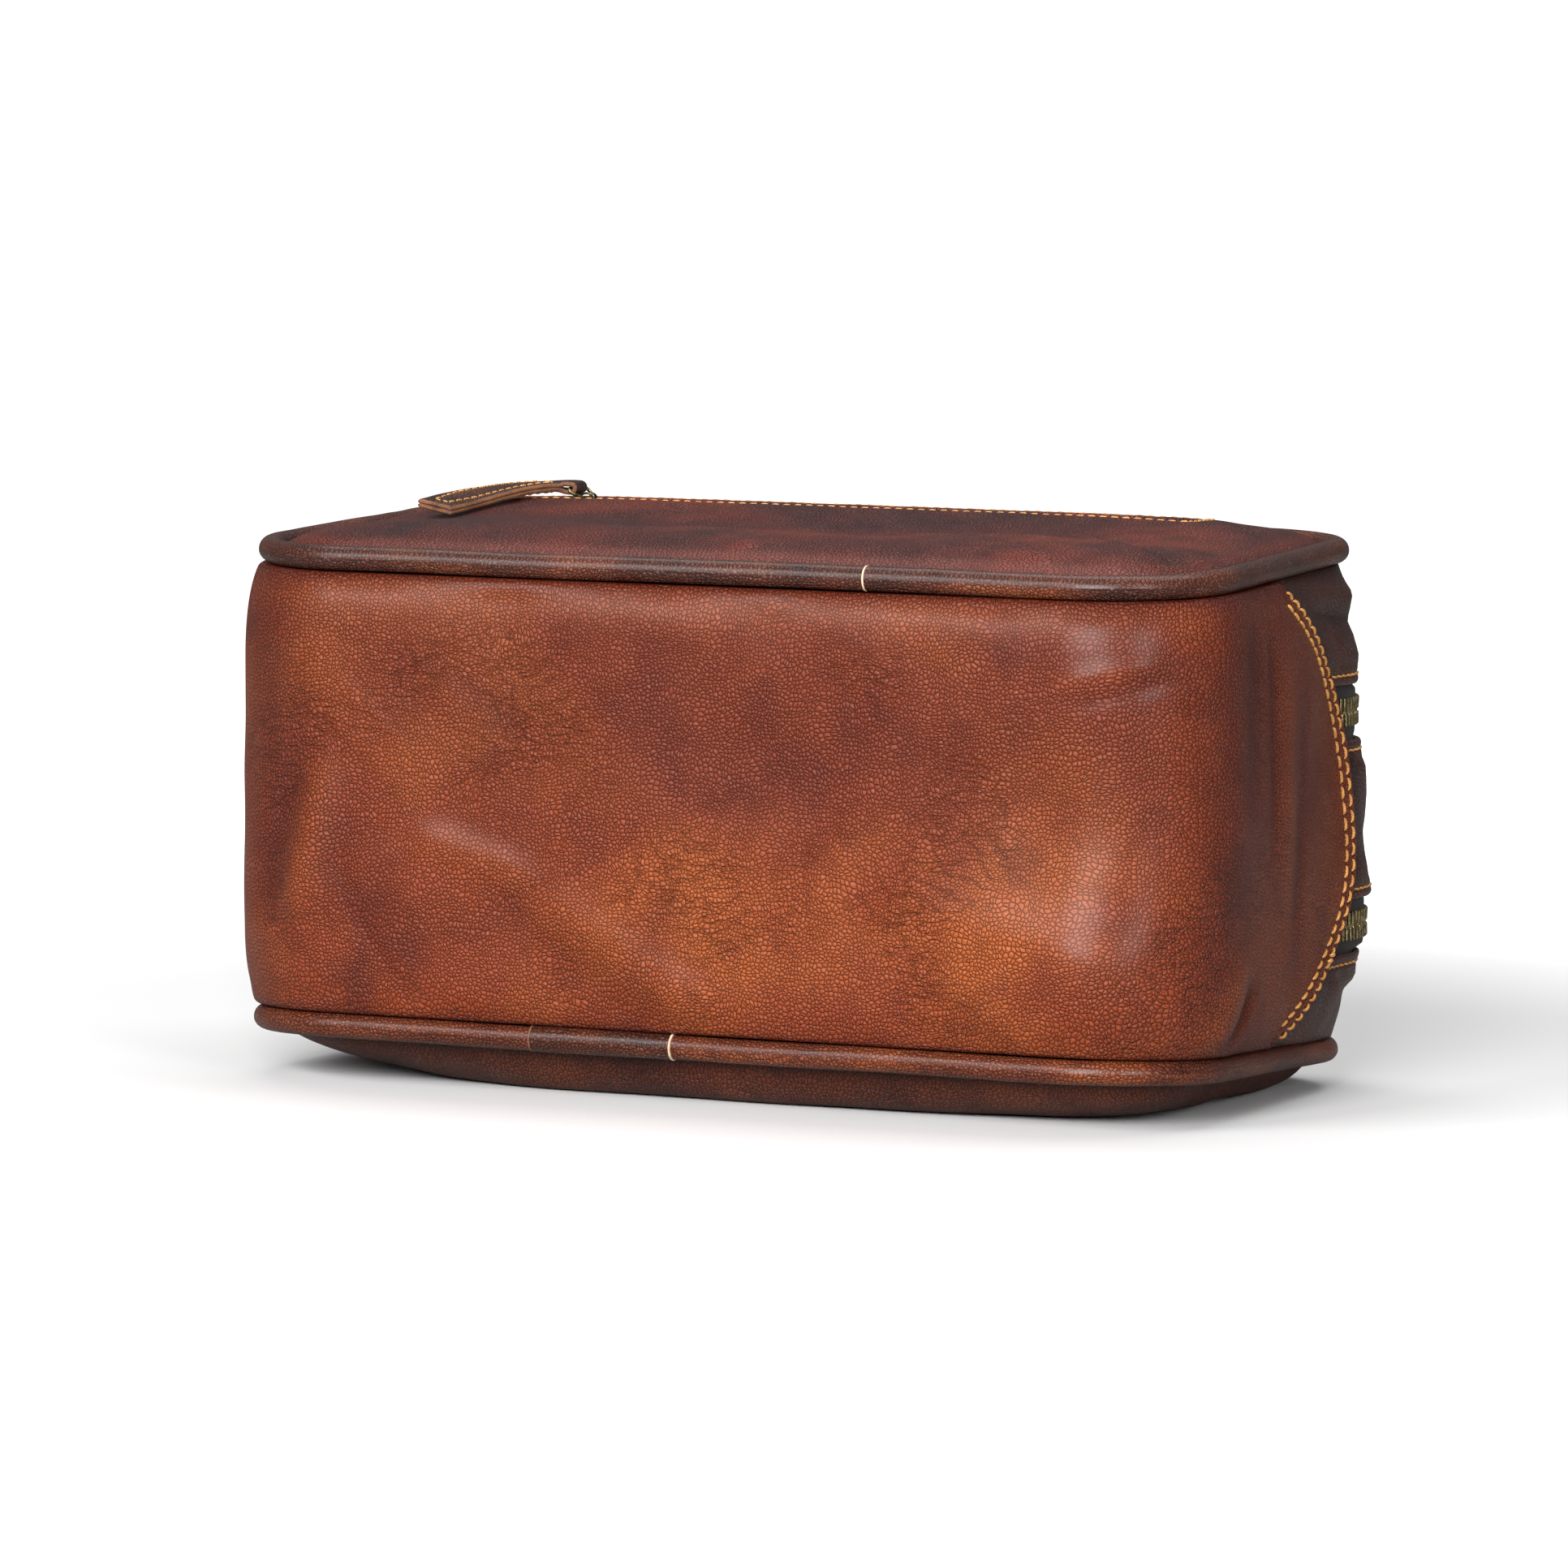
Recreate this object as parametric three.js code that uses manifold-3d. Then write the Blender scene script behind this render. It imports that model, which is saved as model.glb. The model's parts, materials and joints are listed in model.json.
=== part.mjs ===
// A two-compartment leather shaving kit bag, lying on its back panel.
//
// Frame, in millimetres: X runs along the bag, -Y is the base, +Y is the zipped top, +Z is the front panel
// with the pocket zip, and z = 0 is the surface that the back panel's belly rests on.
//
// The base and both ends are one strip of leather, whose two tongues lap over the three strips of the zipped
// top. The two panels close the front and the back, and each panel's seam carries a piping.

import * as THREE from "three";
import { mergeVertices } from "three/addons/utils/BufferGeometryUtils.js";
import Module from "manifold-3d";

const wasm = await Module();
wasm.setup();

// ---------------------------------------------------------------- driving dimensions

const LENGTH = 250; // the seam outline, along X
const HEIGHT = 140; // the seam outline, from the base to the zipped top, along Y
const CORNER = 32; // the seam outline's corner radius
const MID_Z = 71; // half way between the two seams
const BASE_HALF_DEPTH = 53.3; // from there to the edge of the leather, at the base
const TOP_HALF_DEPTH = 58.6; // the same at the zipped top, where the bag is fuller
const LEATHER = 1.6;
const GAP = 0.3;

const BASE_SWELL = 3.6; // how far the leather swells past the seam outline
const BASE_SWELL_POWER = 8;
const TOP_SWELL = 7.6;
const TOP_SWELL_POWER = 2.5;

const PIPING_RADIUS = 3;
const PIPING_INSET = 2.5; // from the seam outline in to the piping's centre
const PIPING_LEATHER = 0.8;
const CORD_RADIUS = 1.6;
const FRONT_PIPING_JOINT_X = 43.6;
const BACK_LAP_FROM_X = -40;
const BACK_LAP_TO_X = -4;

const FRONT_RISE = 7.2; // how far each panel domes out past its seam
const BACK_RISE = 17;
const PANEL_SEAT = 0.9; // the panel's outer face at its rim, past the piping's centre plane
const PANEL_ROLL = 3.5; // how quickly the panel rolls over beside the piping

const TONGUE_ROOT_Y = -6; // where the tongue's edge meets the seams
const TONGUE_REACH = 43; // from there to its tip
const TONGUE_LEAN = -4; // the tip sits towards the back panel
const TONGUE_POWER = 2.4;
const TONGUE_LAP = 9;

const ZIP_OFFSETS = { front: 22, back: -30 }; // from MID_Z
const WINDOW_HALF = 6.75; // half the gap between two leather edges beside a zip
const TAPE = 0.7;
const TAPE_REACH = 14; // the tape's outer edge, from the zip's centre
const TEETH_HALF_HEIGHT = 1.3;
const TEETH_FROM = 0.6; // each row of teeth, from the zip's centre
const TEETH_TO = 3.5;
const ZIP_STOP = 2.2;
const TEETH_SEAT = 0.3; // from the strips' outer face in to the middle of a top zip's teeth
const TONGUE_DIP = 1.8; // how much deeper those teeth lie under the tongues

const POCKET_Y = 38;
const POCKET_FROM_X = -93;
const POCKET_TO_X = 87;
const POCKET_CHAIN_Z = MID_Z + 64.7;

const SLIDER_HALF_LENGTH = 5.75;
const SLIDER_HALF_WIDTH = 4.9;
const SLIDER_SHIELD = 0.8;
const BRIDGE_AT = 3.8; // from the slider's middle to the bridge's middle
const BRIDGE_HALF = 2;
const BRIDGE_BAR = 0.6;
const PIVOT_HEIGHT = 3.1; // above the middle of the teeth
const RING_LENGTH = 4;
const RING_TILT = THREE.MathUtils.degToRad(142);
const RING_WIRE = 0.4;
const STRAP_HALF_WIDTH = 5;
const STRAP_THICKNESS = 2.6;
const STRAP_EYE = 0.72;

const LINING = 0.8;
const LINING_INSET = 4.4;
const DIVIDER_AT = -4; // from MID_Z

const TOP_SLIDER_X = -87;
const POCKET_SLIDER_X = -78.3;

// ---------------------------------------------------------------- the seam outline

const LONG_HALF = LENGTH / 2 - CORNER;
const SHORT_HALF = HEIGHT / 2 - CORNER;
const QUARTER_ARC = (Math.PI / 2) * CORNER;
const BASE_CORNER = LONG_HALF; // distances along the outline, from the middle of the base
const END_START = BASE_CORNER + QUARTER_ARC;
const END_STOP = END_START + 2 * SHORT_HALF;
const TOP_START = END_STOP + QUARTER_ARC;
const HALF_ROUND = TOP_START + LONG_HALF;

// The outline's point and outward normal at a distance along it, counted from the middle of the base towards +X.
function outlineAt(distance) {
  const round = 2 * HALF_ROUND;
  const along = ((distance % round) + round) % round;
  const mirrored = along > HALF_ROUND;
  const s = mirrored ? round - along : along;
  let x;
  let y;
  let turn;
  if (s <= BASE_CORNER) {
    turn = 0;
    x = s;
    y = -HEIGHT / 2;
  } else if (s < END_START) {
    turn = (s - BASE_CORNER) / CORNER;
    x = LONG_HALF + CORNER * Math.sin(turn);
    y = -SHORT_HALF - CORNER * Math.cos(turn);
  } else if (s <= END_STOP) {
    turn = Math.PI / 2;
    x = LENGTH / 2;
    y = s - END_START - SHORT_HALF;
  } else if (s < TOP_START) {
    turn = Math.PI / 2 + (s - END_STOP) / CORNER;
    x = LONG_HALF + CORNER * Math.sin(turn);
    y = SHORT_HALF - CORNER * Math.cos(turn);
  } else {
    turn = Math.PI;
    x = HALF_ROUND - s;
    y = HEIGHT / 2;
  }
  const side = mirrored ? -1 : 1;
  return { x: side * x, y, nx: side * Math.sin(turn), ny: -Math.cos(turn) };
}

// Half the depth of the bag's wall, from MID_Z to a seam: it grows from the base to the zipped top.
function halfDepth(y) {
  return THREE.MathUtils.lerp(BASE_HALF_DEPTH, TOP_HALF_DEPTH, y / HEIGHT + 0.5);
}

// A point on the bag's wall: along the outline, up from MID_Z, and in from the swollen outer surface.
function onWall(distance, up, inward) {
  const at = outlineAt(distance);
  const fullness = THREE.MathUtils.smoothstep(at.y, -25, 45);
  const swell = THREE.MathUtils.lerp(BASE_SWELL, TOP_SWELL, fullness);
  const power = THREE.MathUtils.lerp(BASE_SWELL_POWER, TOP_SWELL_POWER, fullness);
  const across = Math.min(1, Math.abs(up) / halfDepth(at.y));
  const out = swell * (1 - across ** power) - inward;
  return new THREE.Vector3(at.x + at.nx * out, at.y + at.ny * out, MID_Z + up);
}

// ---------------------------------------------------------------- building blocks

// Evenly spread values, ends included.
function spread(from, to, count) {
  return Array.from({ length: count + 1 }, (_, i) => THREE.MathUtils.lerp(from, to, i / count));
}

// A box whose columns, layers and rows are carried to wherever place(column, row, layer) says.
function carriedBox(columns, rows, place) {
  const box = new THREE.BoxGeometry(1, 1, 1, columns, 1, rows);
  const position = box.getAttribute("position");
  for (let i = 0; i < position.count; i++) {
    const column = Math.round((position.getX(i) + 0.5) * columns);
    const layer = Math.round(position.getY(i) + 0.5);
    const row = Math.round((position.getZ(i) + 0.5) * rows);
    const to = place(column, row, layer);
    position.setXYZ(i, to.x, to.y, to.z);
  }
  box.computeVertexNormals();
  return box;
}

// A geometry's closed body, for cutting and joining.
function solid(geometry) {
  const bare = geometry.clone();
  bare.deleteAttribute("normal");
  bare.deleteAttribute("uv");
  const merged = mergeVertices(bare, 1e-4);
  return new wasm.Manifold(
    new wasm.Mesh({
      numProp: 3,
      vertProperties: merged.attributes.position.array,
      triVerts: new Uint32Array(merged.index.array),
    }),
  );
}

// A closed body's geometry.
function geometryOf(body) {
  const mesh = body.getMesh();
  const geometry = new THREE.BufferGeometry();
  geometry.setAttribute("position", new THREE.BufferAttribute(mesh.vertProperties, 3));
  geometry.setIndex(new THREE.BufferAttribute(mesh.triVerts, 1));
  geometry.computeVertexNormals();
  return geometry;
}

function block(x0, x1, y0, y1, z0, z1) {
  const box = new THREE.BoxGeometry(x1 - x0, y1 - y0, z1 - z0);
  return box.translate((x0 + x1) / 2, (y0 + y1) / 2, (z0 + z1) / 2);
}

// A round bar from one point to another.
function bar(from, to, radius, sides = 8) {
  const span = new THREE.Vector3().subVectors(to, from);
  const cylinder = new THREE.CylinderGeometry(radius, radius, span.length(), sides);
  const turn = new THREE.Quaternion().setFromUnitVectors(new THREE.Vector3(0, 1, 0), span.normalize());
  cylinder.applyQuaternion(turn);
  return cylinder.translate(...from.clone().add(to).multiplyScalar(0.5).toArray());
}

function joined(geometries) {
  const bodies = geometries.map(solid);
  return bodies.slice(1).reduce((sum, body) => sum.add(body), bodies[0]);
}

// A slab with the seam outline's shape, drawn in by inset.
function slab(inset, z0, z1) {
  const a = LENGTH / 2 - inset;
  const b = HEIGHT / 2 - inset;
  const r = CORNER - inset;
  const shape = new THREE.Shape();
  shape.absarc(a - r, b - r, r, 0, Math.PI / 2);
  shape.absarc(r - a, b - r, r, Math.PI / 2, Math.PI);
  shape.absarc(r - a, r - b, r, Math.PI, 1.5 * Math.PI);
  shape.absarc(a - r, r - b, r, 1.5 * Math.PI, 2 * Math.PI);
  const options = { depth: z1 - z0, bevelEnabled: false, curveSegments: 5 };
  return new THREE.ExtrudeGeometry(shape, options).translate(0, 0, z0);
}

// ---------------------------------------------------------------- materials

function finish(color, roughness, metalness = 0) {
  return new THREE.MeshStandardMaterial({ color, roughness, metalness });
}

const MATERIALS = {
  tan: finish(0x7a3a1c, 0.45),
  oxblood: finish(0x54201a, 0.45),
  dark: finish(0x3f1d16, 0.5),
  cord: finish(0xb9a88c, 0.9),
  tape: finish(0x1c1816, 0.85),
  brass: finish(0x6d5a34, 0.4, 0.9),
  metal: finish(0x2b2722, 0.35, 0.9),
  lining: finish(0x33261f, 0.8),
};

const bag = new THREE.Group();

function add(name, geometry, material, parent = bag) {
  const mesh = new THREE.Mesh(geometry, material);
  mesh.name = name;
  parent.add(mesh);
  return mesh;
}

// ---------------------------------------------------------------- base and ends

// How far along the outline the tongue's edge lies, at a height from MID_Z.
function tongueEnd(up) {
  const half = halfDepth(0);
  const reach = up > TONGUE_LEAN ? half - TONGUE_LEAN : half + TONGUE_LEAN;
  const off = Math.min(1, Math.abs(up - TONGUE_LEAN) / reach);
  const y = TONGUE_ROOT_Y + TONGUE_REACH * (1 - off ** TONGUE_POWER);
  return END_START + SHORT_HALF + y;
}

function baseAndEnds() {
  const rows = 12;
  const fixed = [
    ...spread(-END_START, -BASE_CORNER, 8),
    ...spread(-BASE_CORNER, BASE_CORNER, 6).slice(1),
    ...spread(BASE_CORNER, END_START, 8).slice(1),
  ];
  const tongueColumns = 6;
  const columns = fixed.length - 1 + 2 * tongueColumns;
  const place = (column, row, layer) => {
    const across = -Math.cos((row / rows) * Math.PI);
    const tip = tongueEnd(across * halfDepth(0));
    const left = tongueColumns - column;
    const right = column - (columns - tongueColumns);
    let distance = fixed[column - tongueColumns];
    if (left > 0) distance = -THREE.MathUtils.lerp(END_START, tip, left / tongueColumns);
    if (right > 0) distance = THREE.MathUtils.lerp(END_START, tip, right / tongueColumns);
    const up = across * halfDepth(outlineAt(distance).y);
    return onWall(distance, up, layer * LEATHER);
  };
  return carriedBox(columns, rows, place);
}

add("base_and_ends_gusset", baseAndEnds(), MATERIALS.tan);

// ---------------------------------------------------------------- zipped top

// Stations over the zipped top, from under one tongue to under the other, at a height from MID_Z.
function topStations(up, lap) {
  const from = tongueEnd(up) - lap;
  return [
    ...spread(from, END_STOP, 3),
    ...spread(END_STOP, TOP_START, 8).slice(1),
    ...spread(TOP_START, 2 * HALF_ROUND - TOP_START, 2).slice(1),
    ...spread(2 * HALF_ROUND - TOP_START, 2 * HALF_ROUND - END_STOP, 8).slice(1),
    ...spread(2 * HALF_ROUND - END_STOP, 2 * HALF_ROUND - from, 3).slice(1),
  ];
}

const TOP_COLUMNS = topStations(0, 0).length - 1;
const STRIP_DEPTH = LEATHER + GAP;

// A leather strip of the zipped top, between two heights given as functions of y.
function topStrip(lowAt, highAt) {
  const rows = 5;
  return carriedBox(TOP_COLUMNS, rows, (column, row, layer) => {
    const guess = THREE.MathUtils.lerp(lowAt(0), highAt(0), row / rows);
    const distance = topStations(guess, TONGUE_LAP)[column];
    const { y } = outlineAt(distance);
    const up = THREE.MathUtils.lerp(lowAt(y), highAt(y), row / rows);
    return onWall(distance, up, STRIP_DEPTH + layer * LEATHER);
  });
}

const frontStrip = topStrip(() => ZIP_OFFSETS.front + WINDOW_HALF, halfDepth);
const middleStrip = topStrip(
  () => ZIP_OFFSETS.back + WINDOW_HALF,
  () => ZIP_OFFSETS.front - WINDOW_HALF,
);
const backStrip = topStrip((y) => -halfDepth(y), () => ZIP_OFFSETS.back - WINDOW_HALF);
add("top_strip_front", frontStrip, MATERIALS.dark);
add("top_strip_middle", middleStrip, MATERIALS.dark);
add("top_strip_back", backStrip, MATERIALS.dark);

// The middle of a top zip's teeth, in from the swollen surface: they dip to pass under the tongues.
function chainDepth(distance) {
  const fromTop = Math.abs(((distance + 2 * HALF_ROUND) % (2 * HALF_ROUND)) - HALF_ROUND);
  const dipping = THREE.MathUtils.smoothstep(fromTop, LONG_HALF + 0.4 * QUARTER_ARC, LONG_HALF + 0.9 * QUARTER_ARC);
  return STRIP_DEPTH + TEETH_SEAT + TONGUE_DIP * dipping;
}

// A point in a top zip: across it from its centre line, and up from the middle of its teeth.
function onTopZip(distance, centre, across, height) {
  const point = onWall(distance, centre, chainDepth(distance) - height);
  point.z += across;
  return point;
}

const LEVEL_TAPE = SLIDER_HALF_WIDTH + GAP; // the tape is level out to here, then dips under the leather
const TAPE_STEPS = [TEETH_TO + GAP, LEVEL_TAPE, WINDOW_HALF - GAP, TAPE_REACH];

function orderedSteps(side) {
  const steps = TAPE_STEPS.map((step) => side * step);
  return side > 0 ? steps : steps.reverse();
}

// One woven tape of a top zip: level beside the teeth, then under the leather strip.
function topTape(centre, side) {
  const steps = orderedSteps(side);
  return carriedBox(TOP_COLUMNS, steps.length - 1, (column, row, layer) => {
    const step = steps[row];
    const distance = topStations(centre + step, TONGUE_LAP - 2)[column];
    if (Math.abs(step) <= LEVEL_TAPE) return onTopZip(distance, centre, step, TAPE * (0.5 - layer));
    return onWall(distance, centre + step, STRIP_DEPTH + LEATHER + GAP + layer * TAPE);
  });
}

function topTeeth(centre, side) {
  const edges = side > 0 ? [TEETH_FROM, TEETH_TO] : [-TEETH_TO, -TEETH_FROM];
  return carriedBox(TOP_COLUMNS, 1, (column, row, layer) => {
    const distance = topStations(centre, TONGUE_LAP - 2)[column];
    return onTopZip(distance, centre, edges[row], TEETH_HALF_HEIGHT * (1 - 2 * layer));
  });
}

function topStop(centre) {
  const start = tongueEnd(centre) - (TONGUE_LAP - 2) - GAP;
  return carriedBox(1, 1, (column, row, layer) => {
    const distance = start - ZIP_STOP * (1 - column);
    return onTopZip(distance, centre, TEETH_TO * (2 * row - 1), TEETH_HALF_HEIGHT * (1 - 2 * layer));
  });
}

for (const [name, centre] of Object.entries(ZIP_OFFSETS)) {
  add(`${name}_zip_tape_upper`, topTape(centre, 1), MATERIALS.tape);
  add(`${name}_zip_tape_lower`, topTape(centre, -1), MATERIALS.tape);
  add(`${name}_zip_teeth_upper`, topTeeth(centre, 1), MATERIALS.brass);
  add(`${name}_zip_teeth_lower`, topTeeth(centre, -1), MATERIALS.brass);
  add(`${name}_zip_stop`, topStop(centre), MATERIALS.brass);
}

// ---------------------------------------------------------------- panels

const PANEL_INSET = PIPING_INSET + PIPING_RADIUS + GAP;

// From MID_Z to the middle of the piping.
function seamOffset(y) {
  return halfDepth(y) + GAP + PIPING_RADIUS;
}

// How far a point lies inside the rim of a panel.
function insideRim(x, y) {
  const r = CORNER - PANEL_INSET;
  const qx = Math.abs(x) - LONG_HALF;
  const qy = Math.abs(y) - SHORT_HALF;
  return r - Math.hypot(Math.max(qx, 0), Math.max(qy, 0)) - Math.min(Math.max(qx, qy), 0);
}

// A panel's dome, from 0 at its rim to 1 in the middle.
function dome(x, y) {
  const beyond = 2;
  const fx = 1 - (Math.abs(x) / (LENGTH / 2 - PANEL_INSET + beyond)) ** 6;
  const fy = 1 - (Math.abs(y) / (HEIGHT / 2 - PANEL_INSET + beyond)) ** 4;
  return (fx * fy) ** 0.6 * (1 - Math.exp(-Math.max(0, insideRim(x, y)) / PANEL_ROLL));
}

function frontFace(x, y) {
  return MID_Z + seamOffset(y) + PANEL_SEAT + FRONT_RISE * dome(x, y);
}

function backFace(x, y) {
  return Math.max(0, MID_Z - seamOffset(y) - PANEL_SEAT - BACK_RISE * dome(x, y));
}

// A domed panel: outward is +1 for the front and -1 for the back.
function panel(face, outward) {
  const rings = [0, 0.3, 0.55, 0.72, 0.83, 0.9, 0.95, 0.98, 1];
  const rim = [
    ...spread(-BASE_CORNER, BASE_CORNER, 6),
    ...spread(BASE_CORNER, END_START, 5).slice(1),
    ...spread(END_START, END_STOP, 4).slice(1),
    ...spread(END_STOP, TOP_START, 5).slice(1),
    ...spread(TOP_START, 2 * HALF_ROUND - TOP_START, 6).slice(1),
    ...spread(2 * HALF_ROUND - TOP_START, 2 * HALF_ROUND - END_STOP, 5).slice(1),
    ...spread(2 * HALF_ROUND - END_STOP, 2 * HALF_ROUND - END_START, 4).slice(1),
    ...spread(2 * HALF_ROUND - END_START, 2 * HALF_ROUND - BASE_CORNER, 5).slice(1),
  ];
  const top = rings.map((r) => new THREE.Vector2(r, 1));
  const bottom = rings.map((r) => new THREE.Vector2(r, 0));
  const lathe = new THREE.LatheGeometry([...bottom, ...top.reverse()], rim.length - 1);
  const position = lathe.getAttribute("position");
  for (let i = 0; i < position.count; i++) {
    const ring = Math.hypot(position.getX(i), position.getZ(i));
    const turn = Math.atan2(position.getX(i), position.getZ(i)) / (2 * Math.PI);
    const column = Math.round(((turn + 1) % 1) * (rim.length - 1));
    const at = outlineAt(rim[column]);
    const x = ring * (at.x - at.nx * PANEL_INSET);
    const y = ring * (at.y - at.ny * PANEL_INSET);
    const isOuter = position.getY(i) > 0.5 === outward > 0;
    position.setXYZ(i, x, y, face(x, y) - (isOuter ? 0 : outward * LEATHER));
  }
  return lathe;
}

const pocketWindow = block(
  POCKET_FROM_X,
  POCKET_TO_X,
  POCKET_Y - WINDOW_HALF,
  POCKET_Y + WINDOW_HALF,
  MID_Z,
  2 * MID_Z + HEIGHT,
);
const frontPanel = solid(panel(frontFace, 1)).subtract(solid(pocketWindow));
add("front_panel", geometryOf(frontPanel), MATERIALS.oxblood);
add("back_panel", panel(backFace, -1), MATERIALS.oxblood);

// ---------------------------------------------------------------- piping

// Stations round a seam, from one distance along the outline to another further on.
function roundStations(from, to) {
  const round = 2 * HALF_ROUND;
  const marks = [BASE_CORNER, END_START, END_STOP, TOP_START];
  const mirrored = marks.map((mark) => round - mark).reverse();
  const inner = [...marks, ...mirrored].filter((mark) => mark > from && mark < to);
  const edges = [from, ...inner, to];
  return edges.slice(1).flatMap((edge, i) => {
    const isArc = Math.abs(edge - edges[i] - QUARTER_ARC) < 1e-6;
    return spread(edges[i], edge, isArc ? 6 : 1).slice(i ? 1 : 0);
  });
}

// Carries a lathe shape that stands on Y from 0 to 1 round a seam: side is +1 at the front, -1 at the back.
function roundSeam(lathe, stations, side) {
  const position = lathe.getAttribute("position");
  for (let i = 0; i < position.count; i++) {
    const column = Math.round(position.getY(i) * (stations.length - 1));
    const at = outlineAt(stations[column]);
    const out = position.getX(i) - PIPING_INSET;
    const z = MID_Z + side * seamOffset(at.y) + position.getZ(i);
    position.setXYZ(i, at.x + at.nx * out, at.y + at.ny * out, z);
  }
  return lathe;
}

// The piping's round cover of thin leather, open at both of its ends.
function pipingCover(from, to, side, radius) {
  const stations = roundStations(from, to);
  const steps = spread(0, 1, stations.length - 1);
  const inner = radius - PIPING_LEATHER;
  const wall = [
    ...steps.map((step) => new THREE.Vector2(radius, step)),
    ...steps.reverse().map((step) => new THREE.Vector2(inner, step)),
    new THREE.Vector2(radius, 0),
  ];
  return roundSeam(new THREE.LatheGeometry(wall, 10), stations, side);
}

function pipingCord(from, side) {
  const stations = roundStations(from, from + 2 * HALF_ROUND - GAP);
  const steps = spread(0, 1, stations.length - 1);
  const profile = [
    new THREE.Vector2(0, 0),
    ...steps.map((step) => new THREE.Vector2(CORD_RADIUS, step)),
    new THREE.Vector2(0, 1),
  ];
  return roundSeam(new THREE.LatheGeometry(profile, 6), stations, side);
}

function sideward(side) {
  return side > 0 ? "front" : "back";
}

function addPiping(side, coverFrom, coverTo) {
  const cover = pipingCover(coverFrom, coverTo, side, PIPING_RADIUS);
  add(`${sideward(side)}_piping_cover`, cover, MATERIALS.dark);
  add(`${sideward(side)}_piping_cord`, pipingCord(coverFrom, side), MATERIALS.cord);
}

const ROUND = 2 * HALF_ROUND;
addPiping(1, FRONT_PIPING_JOINT_X + GAP, FRONT_PIPING_JOINT_X + ROUND - GAP);
addPiping(-1, BACK_LAP_TO_X + GAP, BACK_LAP_FROM_X + ROUND - GAP);
const lap = pipingCover(BACK_LAP_FROM_X, BACK_LAP_TO_X, -1, PIPING_RADIUS + 0.2);
add("back_piping_lap", lap, MATERIALS.dark);

// ---------------------------------------------------------------- pocket zip

function pocketTape(side) {
  const steps = orderedSteps(side);
  const stations = spread(POCKET_FROM_X + 0.5, POCKET_TO_X - 0.5, 10);
  return carriedBox(10, steps.length - 1, (column, row, layer) => {
    const x = stations[stations.length - 1 - column];
    const y = POCKET_Y - steps[row];
    const under = frontFace(x, y) - LEATHER - GAP - TAPE / 2;
    const middle = Math.abs(steps[row]) <= LEVEL_TAPE ? POCKET_CHAIN_Z : under;
    return new THREE.Vector3(x, y, middle + TAPE * (0.5 - layer));
  });
}

const POCKET_TEETH_FROM = POCKET_FROM_X + 1;
const POCKET_TEETH_TO = POCKET_TO_X - 5;

function pocketTeeth(side) {
  const low = POCKET_Y + (side > 0 ? TEETH_FROM : -TEETH_TO);
  const high = POCKET_Y + (side > 0 ? TEETH_TO : -TEETH_FROM);
  const bottom = POCKET_CHAIN_Z - TEETH_HALF_HEIGHT;
  return block(POCKET_TEETH_FROM, POCKET_TEETH_TO, low, high, bottom, bottom + 2 * TEETH_HALF_HEIGHT);
}

add("pocket_zip_tape_upper", pocketTape(-1), MATERIALS.tape);
add("pocket_zip_tape_lower", pocketTape(1), MATERIALS.tape);
add("pocket_zip_teeth_upper", pocketTeeth(1), MATERIALS.brass);
add("pocket_zip_teeth_lower", pocketTeeth(-1), MATERIALS.brass);
const pocketStop = block(
  POCKET_TEETH_TO + GAP,
  POCKET_TEETH_TO + GAP + ZIP_STOP,
  POCKET_Y - TEETH_TO,
  POCKET_Y + TEETH_TO,
  POCKET_CHAIN_Z - TEETH_HALF_HEIGHT,
  POCKET_CHAIN_Z + TEETH_HALF_HEIGHT,
);
add("pocket_zip_stop", pocketStop, MATERIALS.brass);

// ---------------------------------------------------------------- sliders, rings and pull straps

// These stand in a zip's own frame: x along it, y across it, z out of it, from the middle of the teeth.

const SHIELD_FROM = TEETH_HALF_HEIGHT + GAP;
const SHIELD_TO = SHIELD_FROM + SLIDER_SHIELD;
const BRIDGE_UNDER = 3.85;
const RING_END = new THREE.Vector3(
  BRIDGE_AT + RING_LENGTH * Math.cos(RING_TILT),
  0,
  PIVOT_HEIGHT + RING_LENGTH * Math.sin(RING_TILT),
);

function slider() {
  const l = SLIDER_HALF_LENGTH;
  const w = SLIDER_HALF_WIDTH;
  const slit = TAPE / 2 + GAP;
  const flange = TEETH_TO + GAP;
  const post = 0.7;
  const bridge = [BRIDGE_AT - BRIDGE_HALF, BRIDGE_AT + BRIDGE_HALF];
  const pieces = [
    block(-l, l, -w, w, SHIELD_FROM, SHIELD_TO),
    block(-l, l, -w, w, -SHIELD_TO, -SHIELD_FROM),
    block(BRIDGE_AT - 1, BRIDGE_AT + 1, -GAP, GAP, -SHIELD_FROM - 0.1, SHIELD_FROM + 0.1),
    block(bridge[0], bridge[0] + post, -1, 1, SHIELD_TO - 0.1, BRIDGE_UNDER + BRIDGE_BAR),
    block(bridge[1] - post, bridge[1], -1, 1, SHIELD_TO - 0.1, BRIDGE_UNDER + BRIDGE_BAR),
    block(bridge[0], bridge[1], -1, 1, BRIDGE_UNDER, BRIDGE_UNDER + BRIDGE_BAR),
  ];
  for (const side of [-1, 1]) {
    const near = Math.min(side * flange, side * w);
    const far = Math.max(side * flange, side * w);
    pieces.push(block(-l, l, near, far, slit, SHIELD_FROM + 0.1));
    pieces.push(block(-l, l, near, far, -SHIELD_FROM - 0.1, -slit));
  }
  return geometryOf(joined(pieces));
}

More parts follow.
